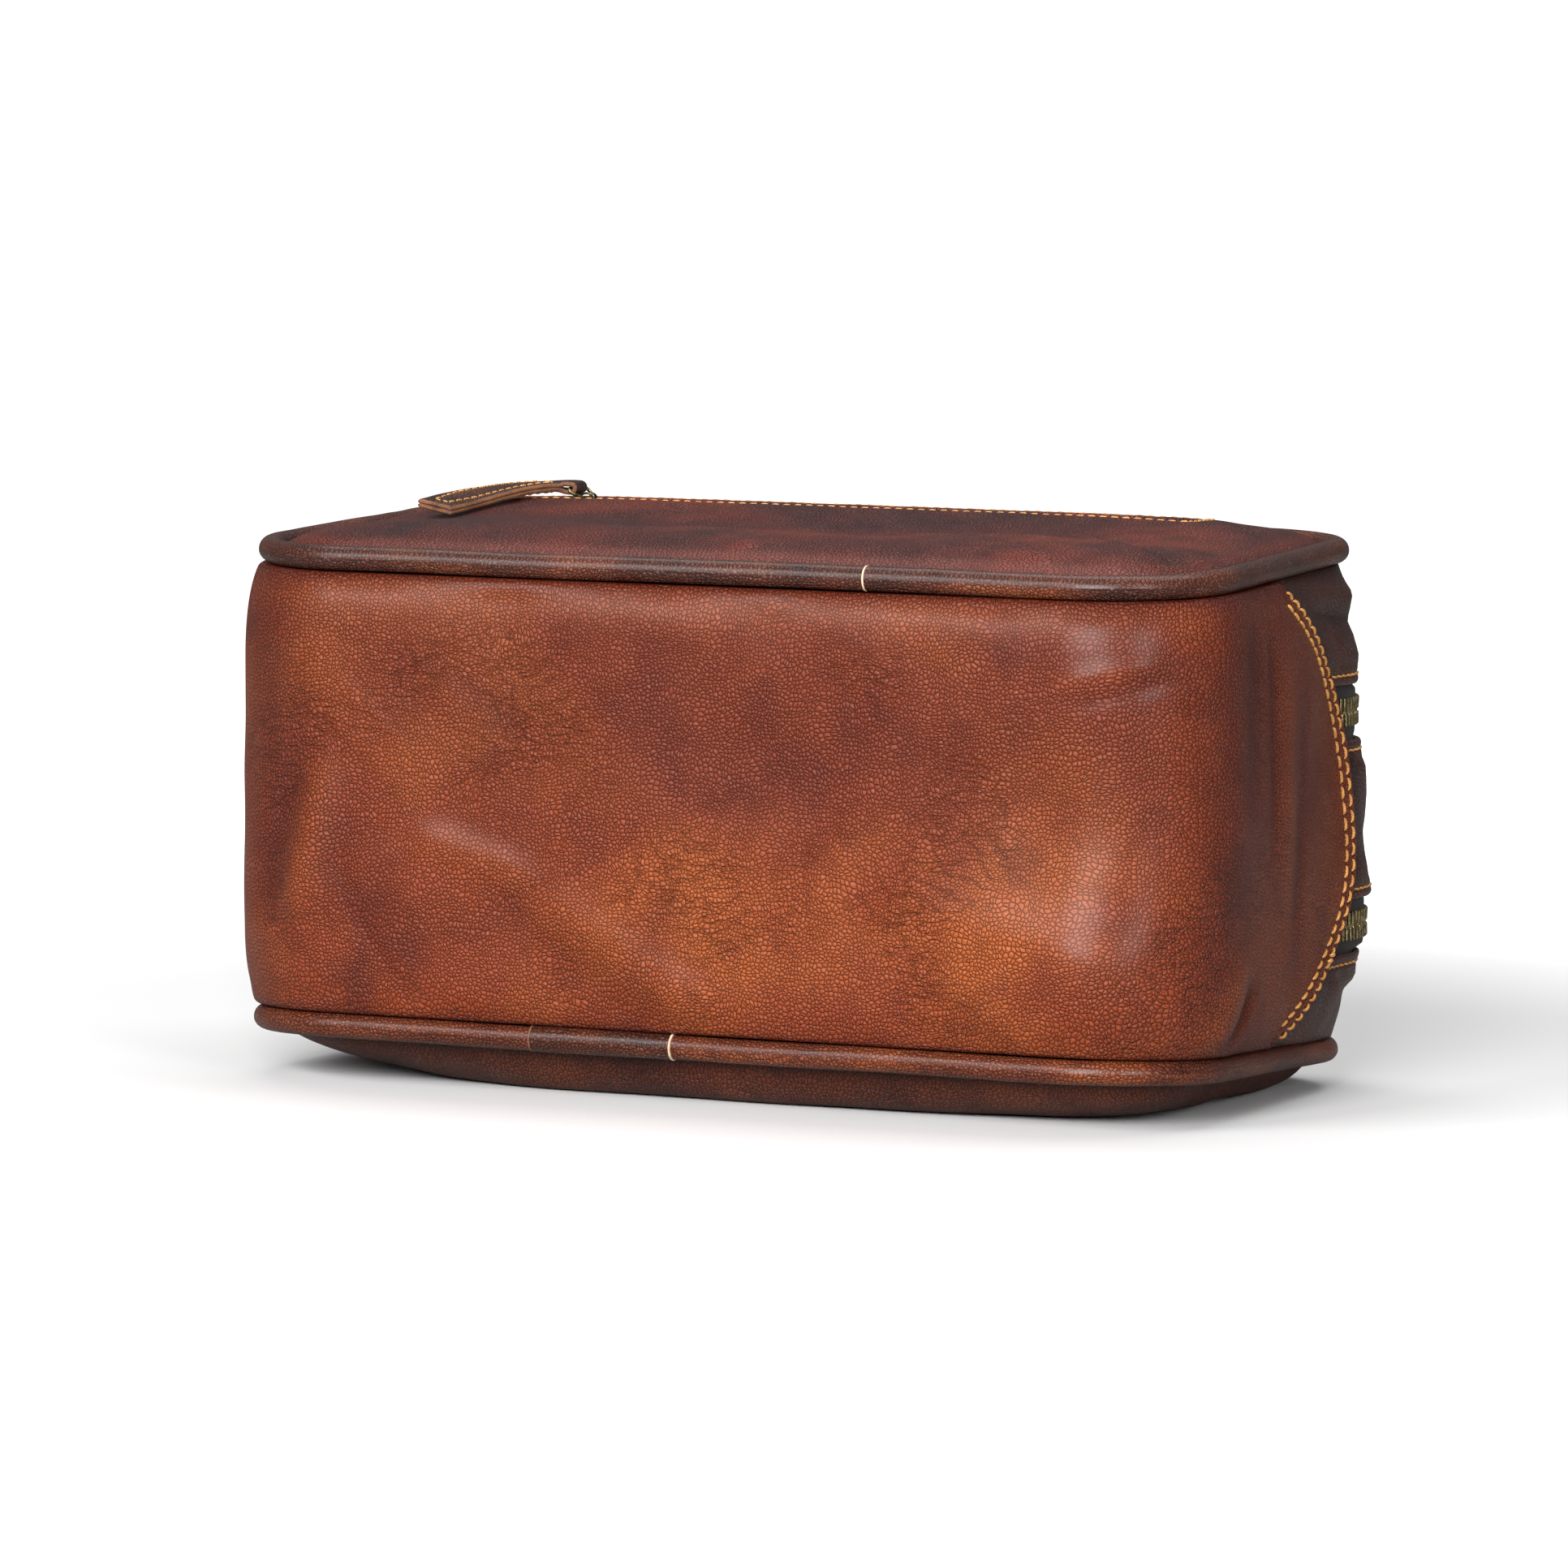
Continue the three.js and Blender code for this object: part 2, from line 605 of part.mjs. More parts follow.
// The wire ring: a short bar under the slider's bridge, and a long bar that holds the strap.
function pullRing() {
  const short = 1.9;
  const long = STRAP_HALF_WIDTH + GAP + RING_WIRE;
  const near = new THREE.Vector3(BRIDGE_AT, 0, PIVOT_HEIGHT);
  const shoulder = near.clone().lerp(RING_END, 0.4);
  const half = [
    [near, short],
    [shoulder, long],
    [RING_END, long],
  ];
  const corners = [
    ...half.map(([at, y]) => at.clone().setY(y)),
    ...half.reverse().map(([at, y]) => at.clone().setY(-y)),
  ];
  const bars = corners.map((from, i) => bar(from, corners[(i + 1) % corners.length], RING_WIRE, 6));
  const elbows = corners.map((at) => new THREE.IcosahedronGeometry(RING_WIRE).translate(...at.toArray()));
  return geometryOf(joined([...bars, ...elbows]));
}

// A folded leather strap round the ring's long bar, along a route that starts at that bar.
function pullStrap(route) {
  const columns = 12;
  const curve = new THREE.CatmullRomCurve3(route);
  const body = carriedBox(columns, 1, (column, row, layer) => {
    const at = curve.getPoint(column / columns);
    const along = curve.getTangent(column / columns);
    const level = new THREE.Vector3(along.y, -along.x, 0).normalize();
    const up = new THREE.Vector3().crossVectors(level, along);
    at.addScaledVector(level, STRAP_HALF_WIDTH * (1 - 2 * row));
    return at.addScaledVector(up, STRAP_THICKNESS * (0.5 - layer));
  });
  const left = new THREE.Vector3(0, -STRAP_HALF_WIDTH, 0);
  const right = new THREE.Vector3(0, STRAP_HALF_WIDTH, 0);
  const fold = joined([body, bar(left, right, STRAP_THICKNESS / 2, 12)]);
  const eye = bar(left.multiplyScalar(1.5), right.multiplyScalar(1.5), STRAP_EYE);
  return geometryOf(fold.subtract(solid(eye))).translate(RING_END.x, 0, RING_END.z);
}

const STRAIGHT_ROUTE = [
  new THREE.Vector3(0, 0, 0),
  new THREE.Vector3(-9, 0, 0.1),
  new THREE.Vector3(-21, 0, -1),
  new THREE.Vector3(-34, 0, -2),
  new THREE.Vector3(-46, 0, -2.4),
];

// The pocket's strap swings round to lie towards the base.
const SIDEWAYS_ROUTE = [
  new THREE.Vector3(0, 0, 0),
  new THREE.Vector3(-4, -0.6, 0.2),
  new THREE.Vector3(-8.5, -5, 0),
  new THREE.Vector3(-12.5, -14, -0.5),
  new THREE.Vector3(-17, -27, -1.1),
  new THREE.Vector3(-20.5, -40, -1.6),
];

function addPull(name, frame, route) {
  const group = new THREE.Group();
  frame.decompose(group.position, group.quaternion, group.scale);
  bag.add(group);
  add(`${name}_zip_slider`, slider(), MATERIALS.metal, group);
  add(`${name}_pull_ring`, pullRing(), MATERIALS.metal, group);
  add(`${name}_pull_strap`, pullStrap(route), MATERIALS.tan, group);
}

for (const [name, centre] of Object.entries(ZIP_OFFSETS)) {
  const at = onTopZip(HALF_ROUND - TOP_SLIDER_X, centre, 0, 0);
  const along = new THREE.Vector3(-1, 0, 0);
  const out = new THREE.Vector3(0, 1, 0);
  const across = new THREE.Vector3().crossVectors(out, along);
  addPull(name, new THREE.Matrix4().makeBasis(along, across, out).setPosition(at), STRAIGHT_ROUTE);
}
const pocketFrame = new THREE.Matrix4().setPosition(POCKET_SLIDER_X, POCKET_Y, POCKET_CHAIN_Z);
addPull("pocket", pocketFrame, SIDEWAYS_ROUTE);

// ---------------------------------------------------------------- linings

const LINING_TOP = BASE_HALF_DEPTH - GAP;

// A compartment's lining: a closed pouch with a mouth under its zip.
function compartment(low, high, zip) {
  const pouch = solid(slab(LINING_INSET, MID_Z + low, MID_Z + high));
  const inside = solid(slab(LINING_INSET + LINING, MID_Z + low + LINING, MID_Z + high - LINING));
  const mouth = solid(
    block(-LONG_HALF, LONG_HALF, 0, HEIGHT, MID_Z + zip - WINDOW_HALF, MID_Z + zip + WINDOW_HALF),
  );
  return geometryOf(pouch.subtract(inside).subtract(mouth));
}

const frontLining = compartment(DIVIDER_AT + LINING, LINING_TOP, ZIP_OFFSETS.front);
const backLining = compartment(-LINING_TOP, DIVIDER_AT - LINING, ZIP_OFFSETS.back);
add("front_lining", frontLining, MATERIALS.lining);
add("back_lining", backLining, MATERIALS.lining);
const dividerHalf = LINING - GAP;
const divider = slab(LINING_INSET, MID_Z + DIVIDER_AT - dividerHalf, MID_Z + DIVIDER_AT + dividerHalf);
add("compartment_divider", divider, MATERIALS.lining);

// The pocket's lining: a shallow tray under the front panel.
function pocketTray() {
  const halfLength = 100;
  const halfHeight = 50;
  const low = MID_Z + LINING_TOP + GAP;
  const high = MID_Z + 60.6;
  const tray = block(-halfLength, halfLength, -halfHeight, halfHeight, low, high);
  const inside = block(
    LINING - halfLength,
    halfLength - LINING,
    LINING - halfHeight,
    halfHeight - LINING,
    low + LINING,
    high + 1,
  );
  return geometryOf(solid(tray).subtract(solid(inside)));
}

add("pocket_lining", pocketTray(), MATERIALS.lining);

export default bag;
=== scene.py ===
"""The looks of a two-compartment leather shaving kit bag that lies on its back panel.

Frame: X runs along the bag, -Y is the base, +Y is the zipped top, +Z is the front panel with the pocket, and z = 0 is
the surface that the back panel's belly rests on. The pieces are shaped in millimetres and built in metres.
"""

import json
import logging
import math
from dataclasses import dataclass, field
from enum import Enum
from typing import Any, Callable, Sequence

import bpy
import numpy as np
from mathutils import Matrix, Vector

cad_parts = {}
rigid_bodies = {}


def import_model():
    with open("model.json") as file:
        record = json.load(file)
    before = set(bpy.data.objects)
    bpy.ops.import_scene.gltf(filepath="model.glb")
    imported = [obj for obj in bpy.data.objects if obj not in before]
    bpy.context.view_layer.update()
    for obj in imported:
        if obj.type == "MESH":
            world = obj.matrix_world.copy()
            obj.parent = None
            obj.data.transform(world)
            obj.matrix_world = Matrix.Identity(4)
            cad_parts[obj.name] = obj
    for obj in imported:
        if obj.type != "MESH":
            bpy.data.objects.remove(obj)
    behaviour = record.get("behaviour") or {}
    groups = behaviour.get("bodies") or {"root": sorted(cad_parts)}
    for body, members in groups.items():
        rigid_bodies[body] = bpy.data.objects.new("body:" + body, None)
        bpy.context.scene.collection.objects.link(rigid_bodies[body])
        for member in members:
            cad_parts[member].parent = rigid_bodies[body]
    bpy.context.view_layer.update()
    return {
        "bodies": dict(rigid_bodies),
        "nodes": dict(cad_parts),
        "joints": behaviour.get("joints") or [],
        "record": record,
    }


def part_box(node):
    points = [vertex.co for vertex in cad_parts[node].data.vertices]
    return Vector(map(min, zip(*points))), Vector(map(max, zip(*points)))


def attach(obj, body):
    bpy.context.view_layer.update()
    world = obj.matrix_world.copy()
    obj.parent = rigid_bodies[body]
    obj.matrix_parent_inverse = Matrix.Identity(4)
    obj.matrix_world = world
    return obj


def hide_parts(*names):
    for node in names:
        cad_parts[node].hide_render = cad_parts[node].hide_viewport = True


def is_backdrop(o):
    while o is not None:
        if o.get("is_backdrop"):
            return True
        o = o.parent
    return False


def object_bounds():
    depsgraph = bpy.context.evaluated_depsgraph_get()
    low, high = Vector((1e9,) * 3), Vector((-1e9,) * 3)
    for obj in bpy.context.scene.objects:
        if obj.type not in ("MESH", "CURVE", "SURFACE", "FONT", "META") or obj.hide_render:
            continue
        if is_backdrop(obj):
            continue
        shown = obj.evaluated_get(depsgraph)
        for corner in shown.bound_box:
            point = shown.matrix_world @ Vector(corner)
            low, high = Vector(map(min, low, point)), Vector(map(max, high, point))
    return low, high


LOG = logging.getLogger("shaving_kit_bag")
MM = 0.001

Array = np.ndarray
Colour = tuple[float, float, float, float]


# ---------------------------------------------------------------- small sums


def smoothstep(value: Array, low: float, high: float) -> Array:
    """Return 0 below low, 1 above high, and a smooth rise between them."""
    t = np.clip((np.asarray(value, float) - low) / (high - low), 0.0, 1.0)
    return t * t * (3.0 - 2.0 * t)


def mix(low: Array, high: Array, share: Array) -> Array:
    """Return the value that lies share of the way from low to high."""
    return low + (high - low) * share


def unit(vectors: Array) -> Array:
    """Return the vectors with a length of one."""
    return vectors / np.maximum(np.linalg.norm(vectors, axis=-1, keepdims=True), 1e-12)


def soft_noise(u: Array, v: Array, size: float, seed: int) -> Array:
    """Return smooth seeded noise over a surface.

    Args:
        u: places along the surface.
        v: places across it.
        size: how far apart the bumps are.
        seed: which of the patterns.

    Returns:
        Values from -1 to 1.
    """
    count = 64
    lattice = np.random.default_rng(seed).uniform(-1.0, 1.0, (count, count))
    x, y = np.asarray(u) / size + 31.4, np.asarray(v) / size + 17.7
    i, j = np.floor(x).astype(int), np.floor(y).astype(int)
    fx, fy = smoothstep(x - i, 0, 1), smoothstep(y - j, 0, 1)
    low = mix(lattice[i % count, j % count], lattice[(i + 1) % count, j % count], fx)
    high = mix(lattice[i % count, (j + 1) % count], lattice[(i + 1) % count, (j + 1) % count], fx)
    return mix(low, high, fy)


def stations(*spans: tuple[float, float, float]) -> Array:
    """Return rising values over adjoining spans.

    Args:
        spans: for each, where it starts, where it ends and the largest step in it.

    Returns:
        The values, with both ends of every span among them.
    """
    values = [spans[0][0]]
    for start, stop, step in spans:
        count = max(1, math.ceil(abs(stop - start) / step))
        values.extend(np.linspace(start, stop, count + 1)[1:])
    return np.array(values)


def lengths_along(path: Array) -> Array:
    """Return how far along a path each of its points is."""
    return np.concatenate([[0.0], np.cumsum(np.linalg.norm(np.diff(path, axis=0), axis=1))])


def at_lengths(path: Array, values: Array, where: Array) -> Array:
    """Return the values that belong to a path's points, at given distances along the path."""
    along = lengths_along(path)
    return np.stack([np.interp(where, along, values[:, k]) for k in range(values.shape[1])], axis=1)


def with_zero(places: Array) -> Array:
    """Return flat places with a third number, which is 0."""
    return np.concatenate([places, np.zeros(places.shape[:-1] + (1,))], axis=-1)


def rings(turn: Array, side: Array, rise: Array) -> Array:
    """Return a unit circle round each point of a path, from the directions sideways and up from it there."""
    return np.cos(turn)[:, None] * side[:, None] + np.sin(turn)[:, None] * rise[:, None]


def rounded_path(corners: Array, rounds: int, closed: bool) -> Array:
    """Return a path with its corners cut again and again until they are round.

    Args:
        corners: the path's own points.
        rounds: how often they are cut.
        closed: whether its ends join.

    Returns:
        The points of the round path.
    """
    path = np.asarray(corners, float)
    for _ in range(rounds):
        following = np.roll(path, -1, axis=0) if closed else path[1:]
        previous = path if closed else path[:-1]
        cut = np.stack([0.75 * previous + 0.25 * following, 0.25 * previous + 0.75 * following], axis=1)
        cut = cut.reshape(-1, path.shape[1])
        path = cut if closed else np.vstack([path[:1], cut[1:-1], path[-1:]])
    return path


# ---------------------------------------------------------------- meshes


def grid_faces(rows: int, columns: int, wrap_rows: bool = False, wrap_columns: bool = False) -> Array:
    """Return the four-sided faces of a grid of points.

    Args:
        rows: how many rows of points there are.
        columns: how many points are in a row.
        wrap_rows: whether the last row joins the first.
        wrap_columns: whether the last column joins the first.

    Returns:
        One row of four point numbers for each face.
    """
    i = np.arange(rows if wrap_rows else rows - 1)[:, None]
    j = np.arange(columns if wrap_columns else columns - 1)[None, :]
    i2, j2 = (i + 1) % rows, (j + 1) % columns
    corners = [i * columns + j, i2 * columns + j, i2 * columns + j2, i * columns + j2]
    return np.stack(np.broadcast_arrays(*corners), axis=-1).reshape(-1, 4)


def grid_normals(points: Array) -> Array:
    """Return the outward normals of a grid whose rows and columns turn the right-handed way."""
    return unit(np.cross(np.gradient(points, axis=0), np.gradient(points, axis=1)))


@dataclass
class Stock:
    """A mesh in the making: points, faces, and what each point and face is marked with."""

    points: list[Array] = field(default_factory=list)
    faces: list[list[int]] = field(default_factory=list)
    finish_of: list[int] = field(default_factory=list)
    marks: dict[str, list[Array]] = field(default_factory=dict)
    count: int = 0

    def add(self, points: Array, faces: Array, finish: int = 0, **marks: Array) -> None:
        """Add a body.

        Args:
            points: its points.
            faces: its faces, as numbers of its own points.
            finish: which of the piece's finishes its faces have.
            marks: a value or vector for each point, by the mark's name.
        """
        flat = np.asarray(points, float).reshape(-1, 3)
        self.faces.extend([[int(k) + self.count for k in face] for face in faces])
        self.finish_of.extend([finish] * len(faces))
        for name, values in marks.items():
            self.marks.setdefault(name, []).append(np.asarray(values, float).reshape(len(flat), -1))
        self.points.append(flat)
        self.count += len(flat)

    def build(self, name: str, finishes: Sequence["Finish"], smooth: bool = True) -> bpy.types.Object:
        """Make the object.

        Args:
            name: the piece's name.
            finishes: its finishes, in the order that the faces number them.
            smooth: whether its faces are shaded as one smooth surface.

        Returns:
            The new object, which rides on nothing yet.
        """
        mesh = bpy.data.meshes.new(name)
        mesh.from_pydata((np.vstack(self.points) * MM).tolist(), [], self.faces)
        for mark, parts in self.marks.items():
            values = np.vstack(parts)
            kind, key = ("FLOAT_VECTOR", "vector") if values.shape[1] == 3 else ("FLOAT", "value")
            attribute = mesh.attributes.new(mark, kind, "POINT")
            attribute.data.foreach_set(key, values.astype(np.float32).ravel())
        for finish in finishes:
            mesh.materials.append(finish.material())
        mesh.polygons.foreach_set("material_index", self.finish_of)
        mesh.polygons.foreach_set("use_smooth", [smooth] * len(self.faces))
        mesh.update()
        piece = bpy.data.objects.new(name, mesh)
        bpy.context.scene.collection.objects.link(piece)
        return piece


RIM_STEPS = (0.0, 0.12, 0.32, 0.5, 0.68, 0.88, 1.0)  # down a leather edge, from the outer face to the inner one


def add_leather(
    stock: Stock,
    outer: Array,
    thickness: float,
    lay: Array,
    keep: Array | None = None,
    rim_finish: int = 0,
    **marks: Array,
) -> None:
    """Add a closed sheet of leather with rounded edges, under a grid of points on its outer face.

    Args:
        stock: the mesh it goes into.
        outer: the outer face's points, by row and column.
        thickness: how thick the leather is.
        lay: each point's place on the flat leather, along and across.
        keep: which of the grid's faces there are, where some are cut out.
        rim_finish: which of the piece's finishes the cut edges have.
        marks: further values for each point of the outer face.
    """
    rows, columns = outer.shape[:2]
    faces = grid_faces(rows, columns)
    if keep is not None:
        faces = faces[keep.ravel()]
    normals = grid_normals(outer).reshape(-1, 3)
    flat = outer.reshape(-1, 3)
    inner = flat - thickness * normals

    edges = np.concatenate([faces[:, [k, (k + 1) % 4]] for k in range(4)])
    keys = np.sort(edges, axis=1)
    _, first, uses = np.unique(keys, axis=0, return_index=True, return_counts=True)
    border = edges[first[uses == 1]]
    rim = np.unique(border)
    number = {int(k): i for i, k in enumerate(rim)}
    outward = np.zeros((len(flat), 3))
    across = np.cross(unit(flat[border[:, 1]] - flat[border[:, 0]]), normals[border[:, 0]])
    for k in range(2):
        np.add.at(outward, border[:, k], across)
    outward = unit(outward[rim])

    lay3 = with_zero(lay.reshape(-1, 2)) * MM
    used = np.unique(faces)
    place = np.full(len(flat), -1)
    place[used] = np.arange(len(used))
    picked = {name: np.asarray(values, float).ravel()[used] for name, values in marks.items()}
    stock.add(flat[used], place[faces], lay=lay3[used], **picked)
    stock.add(inner[used], place[faces][:, ::-1], lay=lay3[used], **picked)

    loops = []
    for step in RIM_STEPS:
        bulge = 0.5 * thickness * math.sin(math.pi * step)
        loops.append(mix(flat[rim], inner[rim], step) + outward * bulge)
    a, b = (np.array([number[int(k)] for k in border[:, end]]) for end in (0, 1))
    sides = []
    for k in range(len(RIM_STEPS) - 1):
        upper, lower = k * len(rim), (k + 1) * len(rim)
        sides.append(np.stack([b + upper, a + upper, a + lower, b + lower], 1))
    rim_lay = np.vstack([lay3[rim] + [0, 0, thickness * MM * step] for step in RIM_STEPS])
    rim_marks = {}
    for name, values in marks.items():
        rim_marks[name] = np.tile(np.asarray(values, float).ravel()[rim], len(RIM_STEPS))
    stock.add(np.vstack(loops), np.vstack(sides), rim_finish, lay=rim_lay, **rim_marks)


def frames_along(path: Array, up: Array, closed: bool = False) -> tuple[Array, Array, Array]:
    """Return the directions along a path, up from it and sideways from it, at each of its points.

    Args:
        path: the path's points.
        up: the direction that up leans towards.
        closed: whether its ends join.

    Returns:
        The three directions at each point.
    """
    if closed:
        along = unit(np.roll(path, -1, axis=0) - np.roll(path, 1, axis=0))
    else:
        along = unit(np.gradient(path, axis=0))
    side = unit(np.cross(along, np.broadcast_to(up, path.shape)))
    return along, np.cross(side, along), side


def add_tube(stock: Stock, path: Array, radius: Array, up: Array, sides: int, closed: bool, finish: int = 0) -> None:
    """Add a round bar, wire or cord along a path.

    Args:
        stock: the mesh it goes into.
        path: the points of its middle line.
        radius: its radius, all along or at each point.
        up: the direction its section is turned by, all along or at each point.
        sides: how many sides its section has.
        closed: whether its ends join.
        finish: which of the piece's finishes it has.
    """
    _, rise, side = frames_along(path, up, closed)
    turn = np.linspace(0.0, 2 * math.pi, sides, endpoint=False)
    radii = np.broadcast_to(np.asarray(radius, float), (len(path),))
    points = path[:, None] + radii[:, None, None] * rings(turn, side, rise)
    faces = grid_faces(len(path), sides, closed, True)[:, ::-1].tolist()
    if not closed:
        faces += [list(range(sides)), [len(path) * sides - 1 - k for k in range(sides)]]
    girth = radii[:, None] * turn[None, :]
    distance = np.broadcast_to(lengths_along(path)[:, None], girth.shape)
    lay = np.stack([distance, girth, np.zeros_like(girth)], axis=-1) * MM
    stock.add(points, faces, finish, lay=lay)


def add_loft(stock: Stock, sections: Array, finish: int = 0) -> None:
    """Add a body through closed sections that follow each other, with flat ends.

    Args:
        stock: the mesh it goes into.
        sections: the sections, each a ring of points.
        finish: which of the piece's finishes it has.
    """
    count, sides = sections.shape[:2]
    faces = grid_faces(count, sides, False, True).tolist()
    faces += [list(range(sides)), [count * sides - 1 - k for k in range(sides)]]
    stock.add(sections, faces, finish, lay=sections * MM)


# ---------------------------------------------------------------- wiring of materials


class Wiring:
    """Adds nodes to one node tree and joins them."""

    def __init__(self, tree: bpy.types.NodeTree) -> None:
        """Start on an empty tree."""
        self.tree = tree
        tree.nodes.clear()

    def node(self, kind: str, inputs: dict[Any, Any] | None = None, **settings: Any) -> bpy.types.Node:
        """Add a node.

        Args:
            kind: the node's type, without "ShaderNode".
            inputs: for an input's name or number, its value or the output that feeds it.
            settings: the node's own settings.

        Returns:
            The new node.
        """
        made = self.tree.nodes.new(kind if kind.startswith("Node") else "ShaderNode" + kind)
        for name, value in settings.items():
            setattr(made, name, value)
        for name, value in (inputs or {}).items():
            socket = made.inputs[name]
            if isinstance(value, bpy.types.NodeSocket):
                self.join(value, socket)
            else:
                socket.default_value = value
        return made

    def join(self, source: bpy.types.NodeSocket, socket: bpy.types.NodeSocket) -> None:
        """Join an output to an input."""
        self.tree.links.new(source, socket)

    def carve(self, height: bpy.types.NodeSocket, depth: float, shader: Any) -> None:
        """Let a height turn the shader's normal, with its full depth in metres."""
        self.join(self.node("Bump", {"Distance": depth, "Height": height}).outputs[0], shader["Normal"])

    def math(self, operation: str, first: Any, second: Any = 0.0, clamp: bool = False) -> bpy.types.NodeSocket:
        """Return the output of a sum of one or two values."""
        return self.node("Math", {0: first, 1: second}, operation=operation, use_clamp=clamp).outputs[0]

    def blend(self, share: Any, low: Any, high: Any, how: str = "MIX") -> bpy.types.NodeSocket:
        """Return the output of a mix of two colours."""
        made = self.node("Mix", {0: share, 6: low, 7: high}, data_type="RGBA", blend_type=how, clamp_factor=True)
        return made.outputs[2]

    def ramp(self, value: Any, low: float, high: float, to_low: float = 0.0, to_high: float = 1.0) -> Any:
        """Return the output of a smooth rise between two values.

        Args:
            value: the output that it follows.
            low: where the rise starts.
            high: where it ends.
            to_low: what it gives at the start.
            to_high: what it gives at the end.

        Returns:
            The output.
        """
        made = self.node(
            "MapRange",
            {"Value": value, "From Min": low, "From Max": high, "To Min": to_low, "To Max": to_high},
            interpolation_type="SMOOTHSTEP",
        )
        return made.outputs[0]

    def noise(self, vector: Any, scale: Any, detail: float = 3.0, roughness: float = 0.5) -> bpy.types.Node:
        """Return a noise texture node over the given coordinates."""
        return self.node("TexNoise", {"Vector": vector, "Scale": scale, "Detail": detail, "Roughness": roughness})

    def mark(self, name: str) -> bpy.types.Node:
        """Return the node that reads what the mesh is marked with."""
        return self.node("Attribute", attribute_name=name, attribute_type="GEOMETRY")


class Effect(Enum):
    """The effects that several materials share, each one node group."""

    GRAIN = "pebbled_grain"
    MOTTLING = "hide_mottling"
    CREASES = "fine_creases"
    WEAVE = "plain_weave"
    TARNISH = "tarnish"


@dataclass
class EffectShelf:
    """The node groups, each built the first time that a material asks for it."""

    built: dict[Effect, bpy.types.NodeTree] = field(default_factory=dict)

    def get(self, effect: Effect) -> bpy.types.NodeTree:
        """Return an effect's node group.

        Args:
            effect: which one.

        Returns:
            The node group.
        """
        if effect not in self.built:
            makers: dict[Effect, Callable[[], bpy.types.NodeTree]] = {
                Effect.GRAIN: self.grain,
                Effect.MOTTLING: self.mottling,
                Effect.CREASES: self.creases,
                Effect.WEAVE: self.weave,
                Effect.TARNISH: self.tarnish,
            }
            self.built[effect] = makers[effect]()
        return self.built[effect]

    def start(self, effect: Effect, inputs: dict[str, str], outputs: dict[str, str]) -> tuple[Wiring, Any, Any]:
        """Start a node group.

        Args:
            effect: which one.
            inputs: the kind of each input socket, by its name.
            outputs: the kind of each output socket, by its name.

        Returns:
            Its wiring, its input node's outputs and its output node's inputs.
        """
        tree = bpy.data.node_groups.new(effect.value, "ShaderNodeTree")
        for direction, sockets in (("INPUT", inputs), ("OUTPUT", outputs)):
            for name, kind in sockets.items():
                tree.interface.new_socket(name=name, in_out=direction, socket_type="NodeSocket" + kind)
        wiring = Wiring(tree)
        return wiring, wiring.node("NodeGroupInput").outputs, wiring.node("NodeGroupOutput").inputs

    def grain(self) -> bpy.types.NodeTree:
        """Build the pebbled grain of leather: cells with fine valleys between them.

        Returns:
            The node group.
        """
        w, given, out = self.start(
            Effect.GRAIN, {"Vector": "Vector", "Cells": "Float"}, {"Height": "Float", "Valley": "Float"}
        )
        drift = w.noise(given["Vector"], 70.0, 2.0).outputs["Color"]
        centred = w.node("VectorMath", {0: drift, 1: (0.5, 0.5, 0.5)}, operation="SUBTRACT").outputs[0]
        shift = w.node("VectorMath", {0: centred, "Scale": 0.006}, operation="SCALE").outputs[0]
        moved = w.node("VectorMath", {0: given["Vector"], 1: shift}, operation="ADD").outputs[0]
        cells = {"Vector": moved, "Scale": given["Cells"], "Randomness": 0.9}
        edge = w.node("TexVoronoi", cells, feature="DISTANCE_TO_EDGE", voronoi_dimensions="2D").outputs["Distance"]
        core = w.node("TexVoronoi", cells, feature="F1", voronoi_dimensions="2D").outputs["Distance"]
        fine = w.noise(moved, w.math("MULTIPLY", given["Cells"], 2.6), 2.0).outputs[0]
        valley = w.ramp(edge, 0.0, 0.17, 1.0, 0.0)
        dome = w.math("SUBTRACT", 0.75, w.math("MULTIPLY", core, 0.55))
        carved = w.math("SUBTRACT", dome, w.math("MULTIPLY", valley, 0.5))
        w.join(w.math("ADD", carved, w.math("MULTIPLY", fine, 0.35)), out["Height"])
        w.join(valley, out["Valley"])
        return w.tree

    def mottling(self) -> bpy.types.NodeTree:
        """Build the uneven dye of a hide: deep, middle and warm patches.

        Returns:
            The node group.
        """
        w, given, out = self.start(
            Effect.MOTTLING,
            {"Vector": "Vector", "Deep": "Color", "Middle": "Color", "Warm": "Color", "Spread": "Float"},
            {"Color": "Color"},
        )
        broad = w.noise(given["Vector"], given["Spread"], 3.0, 0.55).outputs[0]
        middling = w.noise(given["Vector"], w.math("MULTIPLY", given["Spread"], 3.3), 4.0, 0.6).outputs[0]
        fine = w.noise(given["Vector"], w.math("MULTIPLY", given["Spread"], 26.0), 3.0, 0.6).outputs[0]
        warm = w.blend(w.ramp(broad, 0.46, 0.68), given["Middle"], given["Warm"])
        deep = w.math("ADD", w.ramp(broad, 0.5, 0.3), w.ramp(middling, 0.5, 0.34, 0.0, 0.5), True)
        toned = w.blend(w.math("MULTIPLY", deep, 0.75), warm, given["Deep"])
        specks = w.blend(w.ramp(fine, 0.56, 0.72, 0.0, 0.22), toned, given["Deep"])
        w.join(specks, out["Color"])
        return w.tree

